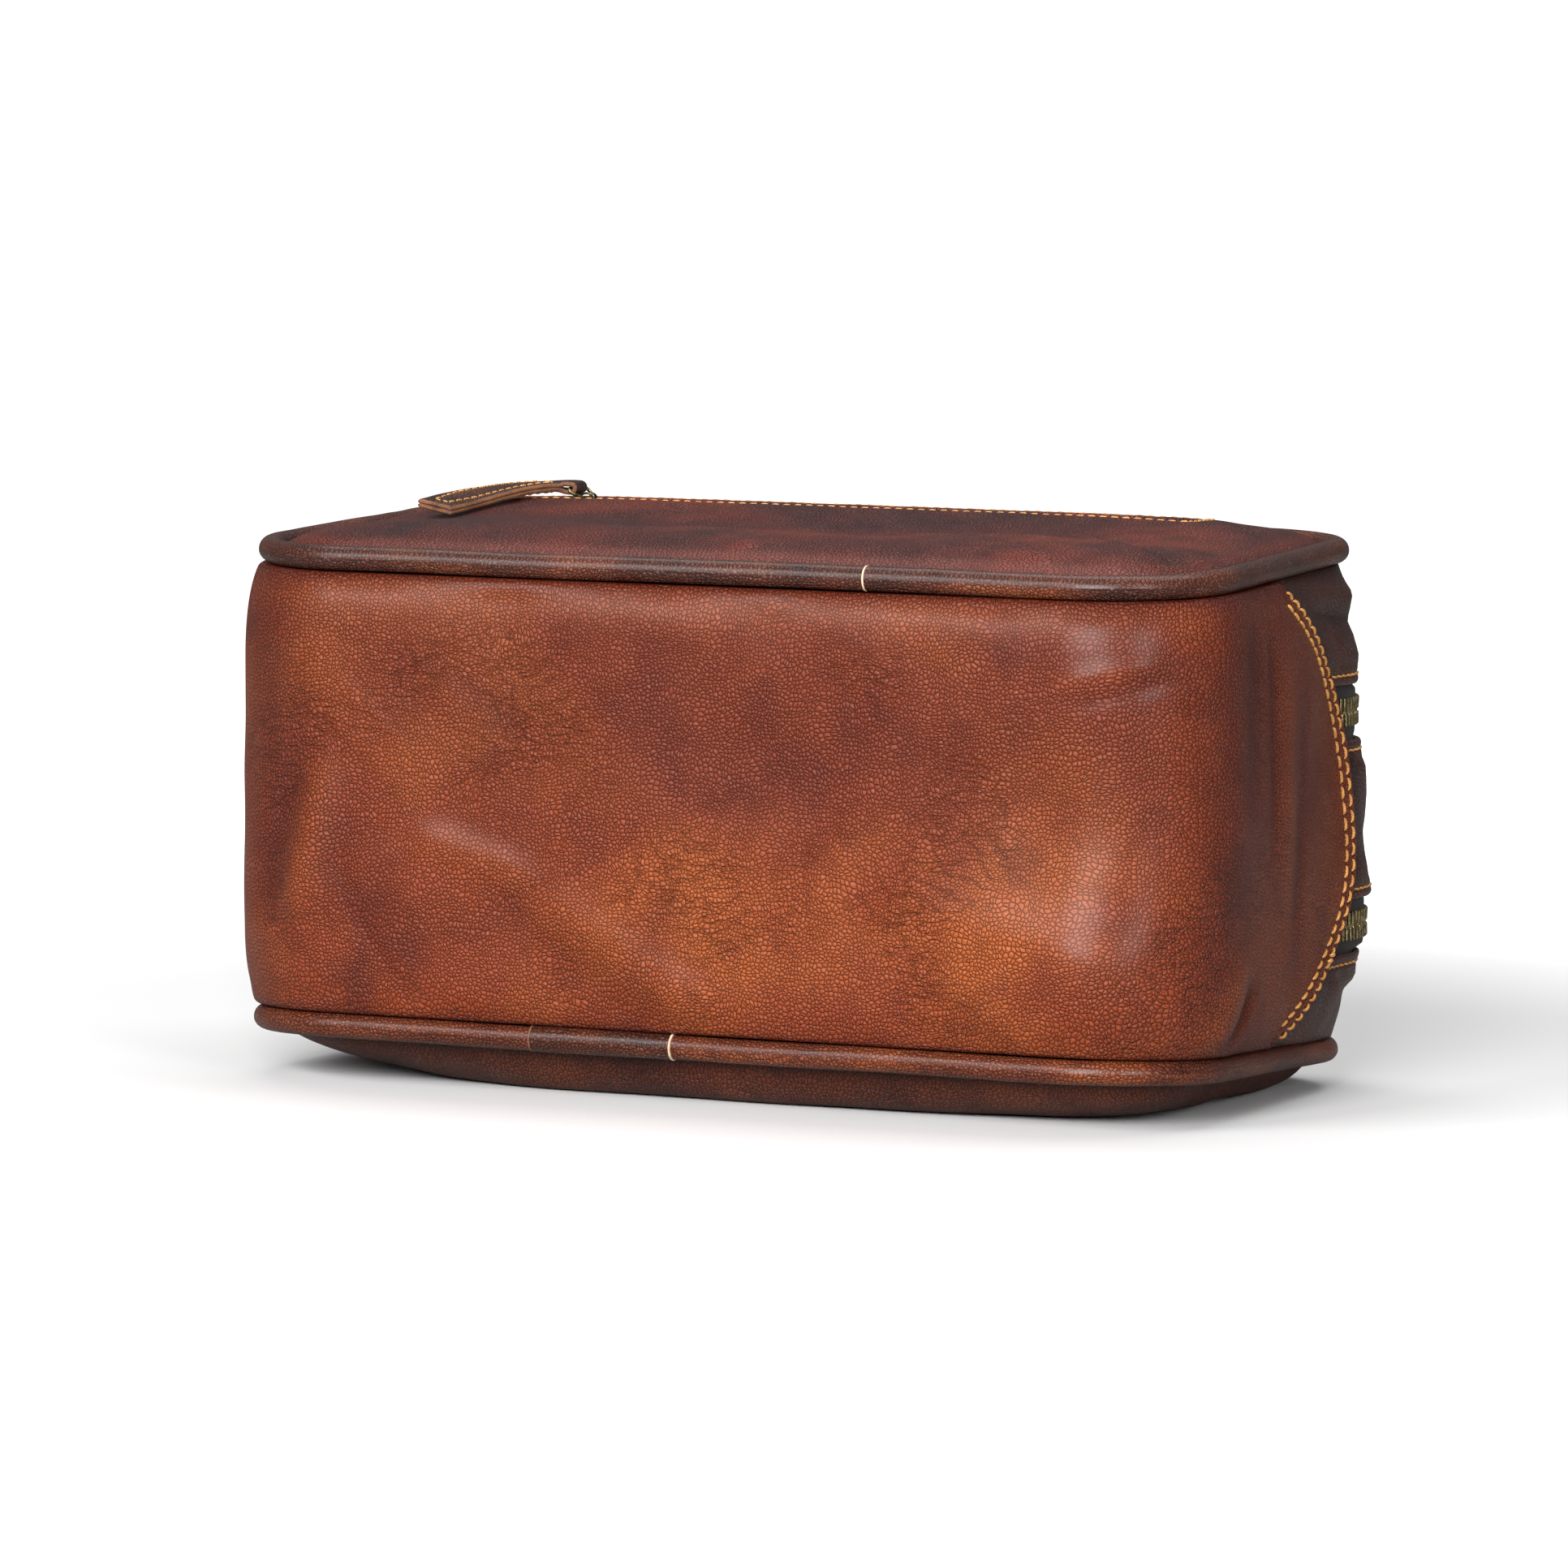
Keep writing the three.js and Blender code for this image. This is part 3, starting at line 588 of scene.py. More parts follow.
    def creases(self) -> bpy.types.NodeTree:
        """Build the fine creases of worn leather, in patches.

        Returns:
            The node group.
        """
        w, given, out = self.start(Effect.CREASES, {"Vector": "Vector"}, {"Height": "Float", "Line": "Float"})
        lean = w.node("Mapping", {"Vector": given["Vector"], "Rotation": (0, 0, 0.6), "Scale": (1.0, 2.4, 1.0)})
        wavy = w.noise(lean.outputs[0], 130.0, 3.0, 0.45).outputs[0]
        line = w.ramp(w.math("ABSOLUTE", w.math("SUBTRACT", wavy, 0.5)), 0.0, 0.035, 1.0, 0.0)
        patch = w.ramp(w.noise(given["Vector"], 22.0, 2.0).outputs[0], 0.5, 0.64)
        shown = w.math("MULTIPLY", line, patch)
        w.join(w.math("MULTIPLY", shown, -1.0), out["Height"])
        w.join(shown, out["Line"])
        return w.tree

    def weave(self) -> bpy.types.NodeTree:
        """Build a plain weave, with threads along and across that pass over and under each other.

        Returns:
            The node group.
        """
        w, given, out = self.start(
            Effect.WEAVE, {"Vector": "Vector", "Threads": "Float"}, {"Height": "Float", "Gap": "Float"}
        )
        parts = w.node("SeparateXYZ", {0: given["Vector"]}).outputs
        turns = w.math("MULTIPLY", given["Threads"], math.pi)
        x, y = (w.math("SINE", w.math("MULTIPLY", parts[k], turns)) for k in (0, 1))
        checker = w.math("MULTIPLY", x, y)
        along = w.math("MULTIPLY", w.math("ABSOLUTE", y), w.ramp(checker, -0.3, 0.3))
        across = w.math("MULTIPLY", w.math("ABSOLUTE", x), w.ramp(checker, 0.3, -0.3))
        height = w.math("MAXIMUM", along, across)
        w.join(height, out["Height"])
        w.join(w.ramp(height, 0.5, 0.1), out["Gap"])
        return w.tree

    def tarnish(self) -> bpy.types.NodeTree:
        """Build the tarnish of old metal: a mask of its dull patches, and fine pitting.

        Returns:
            The node group.
        """
        w, given, out = self.start(Effect.TARNISH, {"Vector": "Vector"}, {"Mask": "Float", "Height": "Float"})
        patches = w.noise(given["Vector"], 900.0, 4.0, 0.65).outputs[0]
        w.join(w.ramp(patches, 0.38, 0.62), out["Mask"])
        w.join(w.noise(given["Vector"], 3500.0, 2.0).outputs[0], out["Height"])
        return w.tree


EFFECTS = EffectShelf()


# ---------------------------------------------------------------- finishes


@dataclass(frozen=True)
class Finish:
    """A finish that makes one material, the first time that a piece asks for it."""

    name: str

    def material(self) -> bpy.types.Material:
        """Return the finish's material.

        Returns:
            The material, dressed once and shared from then on.
        """
        found = bpy.data.materials.get(self.name)
        if found:
            return found
        made = bpy.data.materials.new(self.name)
        made.use_nodes = True
        wiring = Wiring(made.node_tree)
        shader = wiring.node("BsdfPrincipled")
        wiring.join(shader.outputs[0], wiring.node("OutputMaterial").inputs[0])
        self.dress(wiring, shader.inputs)
        return made

    def dress(self, w: Wiring, shader: Any) -> None:
        """Feed the shader. Each kind of finish does it in its own way."""
        raise NotImplementedError

    def effect(self, w: Wiring, effect: Effect, inputs: dict[str, Any]) -> Any:
        """Place a shared effect in the material and return its outputs."""
        return w.node("Group", inputs, node_tree=EFFECTS.get(effect)).outputs


@dataclass(frozen=True)
class LeatherFinish(Finish):
    """Dyed and glazed leather."""

    deep: Colour
    middle: Colour
    warm: Colour
    valley: Colour
    roughness: float = 0.42
    glaze: float = 0.18
    cells: float = 1000.0
    relief: float = 0.0007
    spread: float = 17.0

    def dress(self, w: Wiring, shader: Any) -> None:
        """Dye the hide, paint shade and highlights into its colour, carve its grain and glaze it.

        Args:
            w: the wiring of the material's nodes.
            shader: the shader's input sockets.
        """
        lay = w.mark("lay").outputs["Vector"]
        dyes = {"Vector": lay, "Deep": self.deep, "Middle": self.middle, "Warm": self.warm, "Spread": self.spread}
        dye = self.effect(w, Effect.MOTTLING, dyes)["Color"]
        grain = self.effect(w, Effect.GRAIN, {"Vector": lay, "Cells": self.cells})
        crease = self.effect(w, Effect.CREASES, {"Vector": lay})
        shade = w.mark("shade").outputs["Fac"]
        rub = w.mark("rub").outputs["Fac"]
        # The shade mark darkens the dye towards the deep colour: painted shade in seams, fold valleys and turned-away
        # sides, and random tone on some pieces.
        shaded = w.blend(shade, dye, self.deep)
        # The second mark lightens the dye towards the warm colour: a painted highlight on ridges, rolled shoulders
        # and edges, which are also a little rubbed.
        rubbed = w.blend(w.math("MULTIPLY", rub, 0.8), shaded, self.warm)
        veined = w.blend(w.math("MULTIPLY", grain["Valley"], 0.42), rubbed, self.valley)
        lined = w.blend(w.math("MULTIPLY", crease["Line"], 0.18), veined, self.valley)
        w.join(lined, shader["Base Color"])
        patch = w.noise(lay, 60.0, 3.0).outputs[0]
        dull = w.ramp(patch, 0.3, 0.7, self.roughness - 0.05, self.roughness + 0.07)
        worn = w.math("SUBTRACT", dull, w.math("MULTIPLY", rub, 0.06))
        w.join(w.math("ADD", worn, w.math("MULTIPLY", grain["Valley"], 0.12)), shader["Roughness"])
        shader["Specular IOR Level"].default_value = 0.26
        shader["Coat Weight"].default_value = self.glaze
        shader["Coat Roughness"].default_value = 0.31
        w.carve(w.math("ADD", grain["Height"], w.math("MULTIPLY", crease["Height"], 0.8)), self.relief, shader)


@dataclass(frozen=True)
class RawEdgeFinish(Finish):
    """The cut edge of leather, with its fibres showing."""

    pale: Colour
    dark: Colour

    def dress(self, w: Wiring, shader: Any) -> None:
        """Show the fibres and the dye that has soaked in.

        Args:
            w: the wiring of the material's nodes.
            shader: the shader's input sockets.
        """
        place = w.node("TexCoord").outputs["Object"]
        fibres = w.noise(place, 1900.0, 4.0, 0.7).outputs[0]
        stains = w.noise(place, 160.0, 3.0).outputs[0]
        mixed = w.math("ADD", w.math("MULTIPLY", fibres, 0.6), w.math("MULTIPLY", stains, 0.6))
        w.join(w.blend(w.ramp(mixed, 0.45, 0.8), self.pale, self.dark), shader["Base Color"])
        w.join(w.ramp(fibres, 0.2, 0.8, 0.65, 0.9), shader["Roughness"])
        w.carve(fibres, 0.00012, shader)


@dataclass(frozen=True)
class ThreadFinish(Finish):
    """Waxed sewing thread."""

    light: Colour
    dark: Colour

    def dress(self, w: Wiring, shader: Any) -> None:
        """Show the twist of the thread and its worn wax.

        Args:
            w: the wiring of the material's nodes.
            shader: the shader's input sockets.
        """
        lay = w.mark("lay").outputs["Vector"]
        lean = w.node("Mapping", {"Vector": lay, "Rotation": (0, 0, 0.7)}).outputs[0]
        twist = w.node("TexWave", {"Vector": lean, "Scale": 620.0, "Distortion": 0.8}).outputs[1]
        wax = w.noise(w.node("TexCoord").outputs["Object"], 420.0, 3.0).outputs[0]
        share = w.math("ADD", w.math("MULTIPLY", twist, 0.45), w.ramp(wax, 0.35, 0.7, 0.0, 0.5), True)
        w.join(w.blend(share, self.dark, self.light), shader["Base Color"])
        w.join(w.ramp(wax, 0.3, 0.7, 0.4, 0.65), shader["Roughness"])
        w.carve(twist, 0.00008, shader)


@dataclass(frozen=True)
class MetalFinish(Finish):
    """Metal with an old finish that is rubbed through in places."""

    bright: Colour
    dull: Colour
    smoothest: float = 0.28
    roughest: float = 0.5

    def dress(self, w: Wiring, shader: Any) -> None:
        """Tarnish the metal.

        Args:
            w: the wiring of the material's nodes.
            shader: the shader's input sockets.
        """
        place = w.node("TexCoord").outputs["Object"]
        tarnish = self.effect(w, Effect.TARNISH, {"Vector": place})
        w.join(w.blend(tarnish["Mask"], self.bright, self.dull), shader["Base Color"])
        w.join(w.ramp(tarnish["Mask"], 0.0, 1.0, self.smoothest, self.roughest), shader["Roughness"])
        shader["Metallic"].default_value = 1.0
        w.carve(tarnish["Height"], 0.00002, shader)


@dataclass(frozen=True)
class WovenFinish(Finish):
    """A woven tape or fabric."""

    thread: Colour
    gap: Colour
    threads: float = 1700.0
    relief: float = 0.00012
    from_mark: bool = True

    def dress(self, w: Wiring, shader: Any) -> None:
        """Weave the threads and let their colour vary a little.

        Args:
            w: the wiring of the material's nodes.
            shader: the shader's input sockets.
        """
        place = w.mark("lay").outputs["Vector"] if self.from_mark else w.node("TexCoord").outputs["Object"]
        weave = self.effect(w, Effect.WEAVE, {"Vector": place, "Threads": self.threads})
        cloud = w.noise(place, 130.0, 3.0).outputs[0]
        faded = w.blend(w.ramp(cloud, 0.35, 0.7, 0.0, 0.4), self.thread, self.gap)
        w.join(w.blend(w.math("MULTIPLY", weave["Gap"], 0.8), faded, self.gap), shader["Base Color"])
        w.join(w.ramp(cloud, 0.3, 0.7, 0.72, 0.88), shader["Roughness"])
        shader["Sheen Weight"].default_value = 0.06
        shader["Sheen Roughness"].default_value = 0.4
        w.carve(weave["Height"], self.relief, shader)


@dataclass(frozen=True)
class FloorFinish(Finish):
    """The pale studio floor."""

    tone: Colour

    def dress(self, w: Wiring, shader: Any) -> None:
        """Give the floor a trace of unevenness, and a glow that only the camera sees.

        Args:
            w: the wiring of the material's nodes.
            shader: the shader's input sockets.
        """
        place = w.node("TexCoord").outputs["Object"]
        cloud = w.noise(place, 3.0, 2.0).outputs[0]
        paler = tuple(0.98 * value for value in self.tone[:3]) + (1.0,)
        # The camera sees the pale floor; every other ray sees it dark, so it sends little light back onto the bag.
        seen = w.node("LightPath").outputs["Is Camera Ray"]
        shown = w.blend(cloud, self.tone, paler)
        w.join(w.blend(seen, (0.3, 0.29, 0.28, 1), shown), shader["Base Color"])
        shader["Roughness"].default_value = 0.9
        shader["Specular IOR Level"].default_value = 0.1
        # The floor glows for the camera, from nothing near the bag to full strength further out, so it shows white
        # beyond the bag's shadow.
        away = w.node("VectorMath", {0: place}, operation="LENGTH").outputs["Value"]
        shader["Emission Color"].default_value = (1, 1, 1, 1)
        w.join(w.math("MULTIPLY", seen, w.ramp(away, 0.2, 0.75)), shader["Emission Strength"])


COGNAC = LeatherFinish(
    "cognac_hide",
    deep=(0.088, 0.0115, 0.0045, 1),
    middle=(0.215, 0.0360, 0.0085, 1),
    warm=(0.315, 0.0700, 0.0130, 1),
    valley=(0.090, 0.0120, 0.0040, 1),
)
OXBLOOD = LeatherFinish(
    "oxblood_hide",
    deep=(0.022, 0.0045, 0.0040, 1),
    middle=(0.072, 0.0100, 0.0062, 1),
    warm=(0.175, 0.0240, 0.0095, 1),
    valley=(0.018, 0.0035, 0.0030, 1),
    roughness=0.45,
    glaze=0.14,
)
DARK = LeatherFinish(
    "dark_hide",
    deep=(0.016, 0.0045, 0.0034, 1),
    middle=(0.046, 0.0110, 0.0072, 1),
    warm=(0.105, 0.027, 0.0135, 1),
    valley=(0.014, 0.0040, 0.0030, 1),
    roughness=0.38,
    glaze=0.25,
    spread=30.0,
)
BROWN_PIPING = LeatherFinish(
    "piping_hide",
    deep=(0.026, 0.0075, 0.0045, 1),
    middle=(0.095, 0.0190, 0.0072, 1),
    warm=(0.215, 0.0500, 0.0140, 1),
    valley=(0.024, 0.0070, 0.0040, 1),
    roughness=0.34,
    glaze=0.4,
    spread=26.0,
)
TAN_PIPING = LeatherFinish(
    "tan_piping_hide",
    deep=(0.060, 0.0120, 0.0055, 1),
    middle=(0.150, 0.0300, 0.0095, 1),
    warm=(0.270, 0.0620, 0.0150, 1),
    valley=(0.050, 0.0100, 0.0045, 1),
    roughness=0.36,
    glaze=0.35,
    spread=26.0,
)
BELLY = LeatherFinish(
    "belly_hide",
    deep=(0.040, 0.0090, 0.0055, 1),
    middle=(0.115, 0.0230, 0.0100, 1),
    warm=(0.190, 0.0440, 0.0150, 1),
    valley=(0.036, 0.0080, 0.0045, 1),
    roughness=0.42,
)
STRAP_HIDE = LeatherFinish(
    "strap_hide",
    deep=(0.016, 0.0050, 0.0036, 1),
    middle=(0.054, 0.0145, 0.0080, 1),
    warm=(0.120, 0.0350, 0.0150, 1),
    valley=(0.020, 0.0055, 0.0035, 1),
    roughness=0.4,
    spread=60.0,
)
PALE_EDGE = RawEdgeFinish("pale_raw_edge", pale=(0.70, 0.52, 0.37, 1), dark=(0.42, 0.26, 0.15, 1))
TAN_EDGE = RawEdgeFinish("tan_cut_edge", pale=(0.20, 0.080, 0.032, 1), dark=(0.070, 0.024, 0.012, 1))
THREAD = ThreadFinish("gold_thread", light=(0.74, 0.37, 0.10, 1), dark=(0.36, 0.14, 0.03, 1))
BRASS = MetalFinish("antique_brass_metal", bright=(0.46, 0.36, 0.17, 1), dull=(0.09, 0.075, 0.04, 1))
GUNMETAL = MetalFinish("dark_aged_metal", bright=(0.16, 0.12, 0.07, 1), dull=(0.025, 0.022, 0.02, 1))
TAPE_WEAVE = WovenFinish("zip_tape_weave", thread=(0.016, 0.012, 0.011, 1), gap=(0.003, 0.0025, 0.0025, 1))
INSIDE_WEAVE = WovenFinish(
    "inside_weave", thread=(0.060, 0.040, 0.028, 1), gap=(0.018, 0.012, 0.009, 1), threads=900, from_mark=False
)
CORD_WEAVE = WovenFinish("piping_cord_weave", thread=(0.55, 0.46, 0.34, 1), gap=(0.25, 0.19, 0.12, 1), threads=900.0)
STUDIO_FLOOR = FloorFinish("studio_floor", tone=(0.75, 0.75, 0.75, 1))


# ---------------------------------------------------------------- the bag's form


@dataclass(frozen=True)
class Fold:
    """A soft ridge or valley in leather, from one place on it to another."""

    start: tuple[float, float]
    end: tuple[float, float]
    width: float
    height: float
    sharp: bool = False

    def strength(self, u: Array, v: Array) -> Array:
        """Return how strong the fold is at places on the leather, from 0 to 1.

        Args:
            u: places along the leather.
            v: places across it.

        Returns:
            The strength.
        """
        du, dv = self.end[0] - self.start[0], self.end[1] - self.start[1]
        run = math.hypot(du, dv)
        along = ((u - self.start[0]) * du + (v - self.start[1]) * dv) / run
        beside = np.abs((u - self.start[0]) * dv - (v - self.start[1]) * du) / run
        fade = smoothstep(along, -0.15 * run, 0.25 * run) * (1 - smoothstep(along, 0.75 * run, 1.15 * run))
        profile = np.exp(-beside / self.width) if self.sharp else np.exp(-((beside / self.width) ** 2))
        return fade * profile


@dataclass(frozen=True)
class Hollow:
    """A round dent or swelling in leather."""

    at: tuple[float, float]
    reach: tuple[float, float]
    height: float

    def strength(self, u: Array, v: Array) -> Array:
        """Return how strong it is at places on the leather, from 0 to 1."""
        return np.exp(-(((u - self.at[0]) / self.reach[0]) ** 2) - ((v - self.at[1]) / self.reach[1]) ** 2)


@dataclass(frozen=True)
class Relief:
    """All the folds, dents and slack of one piece of leather."""

    shapes: tuple[Fold | Hollow, ...]
    slack: float = 0.45
    slack_size: float = 24.0
    seed: int = 1

    def lift(self, u: Array, v: Array) -> Array:
        """Return how far the leather stands out at places on it.

        Args:
            u: places along the leather.
            v: places across it.

        Returns:
            The lift, in millimetres.
        """
        total = self.slack * soft_noise(u, v, self.slack_size, self.seed)
        total = total + 0.3 * self.slack * soft_noise(u, v, 0.4 * self.slack_size, self.seed + 1)
        for shape in self.shapes:
            total = total + shape.height * shape.strength(u, v)
        return total

    def marks(self, u: Array, v: Array) -> tuple[Array, Array]:
        """Return the painted shade in the valleys and the painted highlight on the ridges.

        Args:
            u: places along the leather.
            v: places across it.

        Returns:
            Both as shares from 0 to 1.
        """
        shade, rub = np.zeros_like(u), np.zeros_like(u)
        for shape in self.shapes:
            if isinstance(shape, Fold):
                # A valley is darkened as painted shade and a ridge is lightened as a painted highlight.
                target = shade if shape.height < 0 else rub
                target += min(1.0, abs(shape.height)) * 0.45 * shape.strength(u, v)
        return np.clip(shade, 0, 1), np.clip(rub, 0, 1)


@dataclass(frozen=True)
class BagForm:
    """The driving dimensions of the bag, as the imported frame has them."""

    length: float = 250.0
    height: float = 140.0
    corner: float = 32.0
    middle: float = 71.0
    base_half_depth: float = 53.3
    top_half_depth: float = 58.6
    leather: float = 1.6
    gap: float = 0.3
    base_swell: float = 3.6
    base_swell_power: float = 8.0
    top_swell: float = 7.6
    top_swell_power: float = 2.5
    piping_radius: float = 3.0
    piping_inset: float = 2.5
    tongue_root: float = -6.0
    tongue_reach: float = 43.0
    tongue_lean: float = -4.0
    tongue_power: float = 2.4
    pull_at: float = 205.0
    pull_spread: float = 22.0
    pull: float = 3.9
    slack_at: float = 238.0
    slack_spread: float = 17.0
    slack: float = 3.8
    rim_roll: float = 3.5
    window_half: float = 6.75

    @property
    def long_half(self) -> float:
        """Half of the outline's straight run along the base."""
        return self.length / 2 - self.corner

    @property
    def short_half(self) -> float:
        """Half of the outline's straight run along an end."""
        return self.height / 2 - self.corner

    @property
    def quarter(self) -> float:
        """The outline's length round one corner."""
        return 0.5 * math.pi * self.corner

    @property
    def end_start(self) -> float:
        """How far along the outline the end's straight run starts."""
        return self.long_half + self.quarter

    @property
    def end_stop(self) -> float:
        """How far along the outline the end's straight run stops."""
        return self.end_start + 2 * self.short_half

    @property
    def top_start(self) -> float:
        """How far along the outline the zipped top's straight run starts."""
        return self.end_stop + self.quarter

    @property
    def half_round(self) -> float:
        """How far along the outline the middle of the zipped top is."""
        return self.top_start + self.long_half

    @property
    def panel_inset(self) -> float:
        """How far in from the outline a panel's rim is."""
        return self.piping_inset + self.piping_radius + self.gap

    def outline(self, distance: Array) -> tuple[Array, Array, Array, Array]:
        """Return the seam outline's points and outward normals.

        Args:
            distance: how far along it, from the middle of the base towards +X.

        Returns:
            x, y, and the normal's x and y.
        """
        whole = 2 * self.half_round
        s = np.mod(np.asarray(distance, float), whole)
        side = np.where(s > self.half_round, -1.0, 1.0)
        s = np.where(side < 0, whole - s, s)
        low = np.clip((s - self.long_half) / self.corner, 0, math.pi / 2)
        high = np.clip((s - self.end_stop) / self.corner, 0, math.pi / 2)
        x = np.minimum(s, self.long_half) + self.corner * (np.sin(low) + np.cos(high) - 1)
        x = x - np.maximum(0, s - self.top_start)
        y = -self.height / 2 + self.corner * (1 - np.cos(low) + np.sin(high))
        y = y + np.clip(s - self.end_start, 0, 2 * self.short_half)
        return side * x, y, side * np.sin(low + high), -np.cos(low + high)

    def half_depth(self, y: Array) -> Array:
        """Return half the depth of the bag's wall at a height above the base."""
        return mix(self.base_half_depth, self.top_half_depth, y / self.height + 0.5)

    def on_wall(self, distance: Array, up: Array, inward: Array) -> Array:
        """Return points on the bag's wall.

        Args:
            distance: how far along the outline.
            up: how far up from the middle.
            inward: how far in from the swollen outer face.

        Returns:
            The points.
        """
        x, y, nx, ny = self.outline(distance)
        fullness = smoothstep(y, -25, 45)
        swell = mix(self.base_swell, self.top_swell, fullness)
        power = mix(self.base_swell_power, self.top_swell_power, fullness)
        across = np.minimum(1, np.abs(up) / self.half_depth(y))
        out = swell * (1 - across**power) - self.tightness(distance, up) - inward
        return np.stack(np.broadcast_arrays(x + nx * out, y + ny * out, self.middle + up), axis=-1)

    def tightness(self, distance: Array, up: Array) -> Array:
        """Return how far the sewn tongues pull the ends in, and let them out near the back panel.

        Args:
            distance: how far along the outline.
            up: how far up from the middle.

        Returns:
            The pull, which is below 0 where the wall stands out.
        """
        folded = np.mod(distance, 2 * self.half_round)
        folded = np.minimum(folded, 2 * self.half_round - folded)
        near = np.exp(-(((folded - self.pull_at) / self.pull_spread) ** 2))
        pulled = near * (self.pull * np.exp(-(((up - 14.0) / 30.0) ** 2)) - 2.0 * smoothstep(-up, 34, 50))
        beyond = np.exp(-(((folded - self.slack_at) / self.slack_spread) ** 2))
        return pulled - beyond * self.slack * np.exp(-(((up + 27.0) / 16.0) ** 2))

    def tongue_end(self, up: Array) -> Array:
        """Return how far along the outline the tongue's edge lies, at heights from the middle.

        Args:
            up: how far up from the middle.

        Returns:
            The distance for each height.
        """
        half = self.half_depth(0.0)
        reach = np.where(up > self.tongue_lean, half - self.tongue_lean, half + self.tongue_lean)
        off = np.minimum(1, np.abs(up - self.tongue_lean) / reach)
        return self.end_start + self.short_half + self.tongue_root + self.tongue_reach * (1 - off**self.tongue_power)

    def seam_offset(self, y: Array) -> Array:
        """Return how far from the middle the piping's own middle is."""
        return self.half_depth(y) + self.gap + self.piping_radius

    def inside_rim(self, x: Array, y: Array) -> Array:
        """Return how far places lie inside a panel's rim.

        Args:
            x: places along the bag.
            y: places up from the bag's middle, towards the zipped top.

        Returns:
            The distance to the rim, below 0 outside it.
        """
        qx, qy = np.abs(x) - self.long_half, np.abs(y) - self.short_half
        rounded = np.hypot(np.maximum(qx, 0), np.maximum(qy, 0))
        return self.corner - self.panel_inset - rounded - np.minimum(np.maximum(qx, qy), 0)

    def dome(self, x: Array, y: Array, half: float, power: float, middle: float = 0.0) -> Array:
        """Return a panel's dome, from 0 at its rim to 1 in its middle.

        Args:
            x: places along the bag.
            y: places up from the bag's middle, towards the zipped top.
            half: half its length along the bag.
            power: how square it is along the bag.
            middle: where its middle is along the bag.

        Returns:
            The dome's share of its full height.
        """
        along = 1 - (np.abs(x - middle) / half) ** power
        beside = 1 - (np.abs(y) / (self.height / 2 - self.panel_inset + 2.0)) ** 4
        full = np.clip(along, 0, 1) * np.clip(beside, 0, 1)
        return full**0.6 * (1 - np.exp(-np.maximum(0, self.inside_rim(x, y)) / self.rim_roll))

    def spread(self, x: Array, y: Array) -> tuple[Array, Array]:
        """Return a square-cornered grid's places, with its corners drawn in to a panel's round ones.

        Args:
            x: the grid's places along the bag.
            y: its places up from the middle.

        Returns:
            The new places along and up.
        """
        radius = self.corner - self.panel_inset
        u = np.maximum(np.abs(x) - self.long_half, 0) / radius
        v = np.maximum(np.abs(y) - self.short_half, 0) / radius
        su = np.abs(x) - u * radius * (1 - np.sqrt(1 - v * v / 2))
        sv = np.abs(y) - v * radius * (1 - np.sqrt(1 - u * u / 2))
        return np.sign(x) * su, np.sign(y) * sv


FORM = BagForm()


@dataclass(frozen=True)
class Stitching:
    """A row of sewn stitches."""

    pitch: float = 3.6
    gap: float = 0.55
    radius: float = 0.34
    slant: float = 0.10
    bow: float = 0.0
    sink: float = 0.30

    def sew(self, stock: Stock, path: Array, normals: Array) -> int:
        """Add stitches along a path on the leather.

        Args:
            stock: the mesh they go into.
            path: the points of the row.
            normals: the leather's outward normal at each of them.

        Returns:
            How many stitches there are.
        """
        total = float(lengths_along(path)[-1])
        count = max(1, round(total / self.pitch))
        pitch = total / count
        centres = (np.arange(count) + 0.5) * pitch
        middle = at_lengths(path, path, centres)
        ahead = at_lengths(path, path, np.minimum(centres + 0.4 * pitch, total))
        behind = at_lengths(path, path, np.maximum(centres - 0.4 * pitch, 0.0))
        along = unit(ahead - behind)
        up = unit(at_lengths(path, normals, centres))
        side = unit(np.cross(along, up))
        along = unit(along + self.slant * side)
        side = unit(np.cross(along, up))
        reach = np.array([-0.5, -0.46, -0.36, -0.18, 0.0, 0.18, 0.36, 0.46, 0.5])
        thick = np.array([0.35, 0.7, 0.95, 1.0, 1.0, 1.0, 0.95, 0.7, 0.35]) * self.radius
        rise = self.radius * 0.75 - (np.abs(reach) / 0.5) ** 5 * (self.sink + self.radius)
        bowed = self.bow * (1 - (reach / 0.5) ** 2)
        sides = 7
        turn = np.linspace(0, 2 * math.pi, sides, endpoint=False)
        length = pitch - self.gap
        core = (
            middle[:, None]
            + along[:, None] * (reach * length)[None, :, None]
            + up[:, None] * rise[None, :, None]
            + side[:, None] * bowed[None, :, None]
        )
        points = core[:, :, None] + rings(turn, side, up)[:, None] * thick[None, :, None, None]
        last = len(reach) * sides - 1
        body = grid_faces(len(reach), sides, False, True)[:, ::-1].tolist()
        body += [list(range(sides)), [last - k for k in range(sides)]]
        lay = np.stack(np.broadcast_arrays((reach * length)[:, None], (turn * self.radius)[None, :], 0.0), -1)
        for k in range(count):
            stock.add(points[k], body, lay=lay * MM)
        return count


@dataclass
class SubAssembly:
    """What every part of the bag can do: put its pieces in place and say so."""

    def put(self, piece: bpy.types.Object, body: str, slot: str | None = None, replaces: Sequence[str] = ()) -> None:
        """Make a piece ride on a body of the frame.

        Args:
            piece: the piece.
            body: the body's name.
            slot: the record's material slot; not used.
            replaces: the frame's nodes that it stands for.
        """
        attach(piece, body)
        if replaces:
            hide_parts(*replaces)
        LOG.info("%s rides on %s: %d faces", piece.name, body, len(piece.data.polygons))


# ---------------------------------------------------------------- base and ends


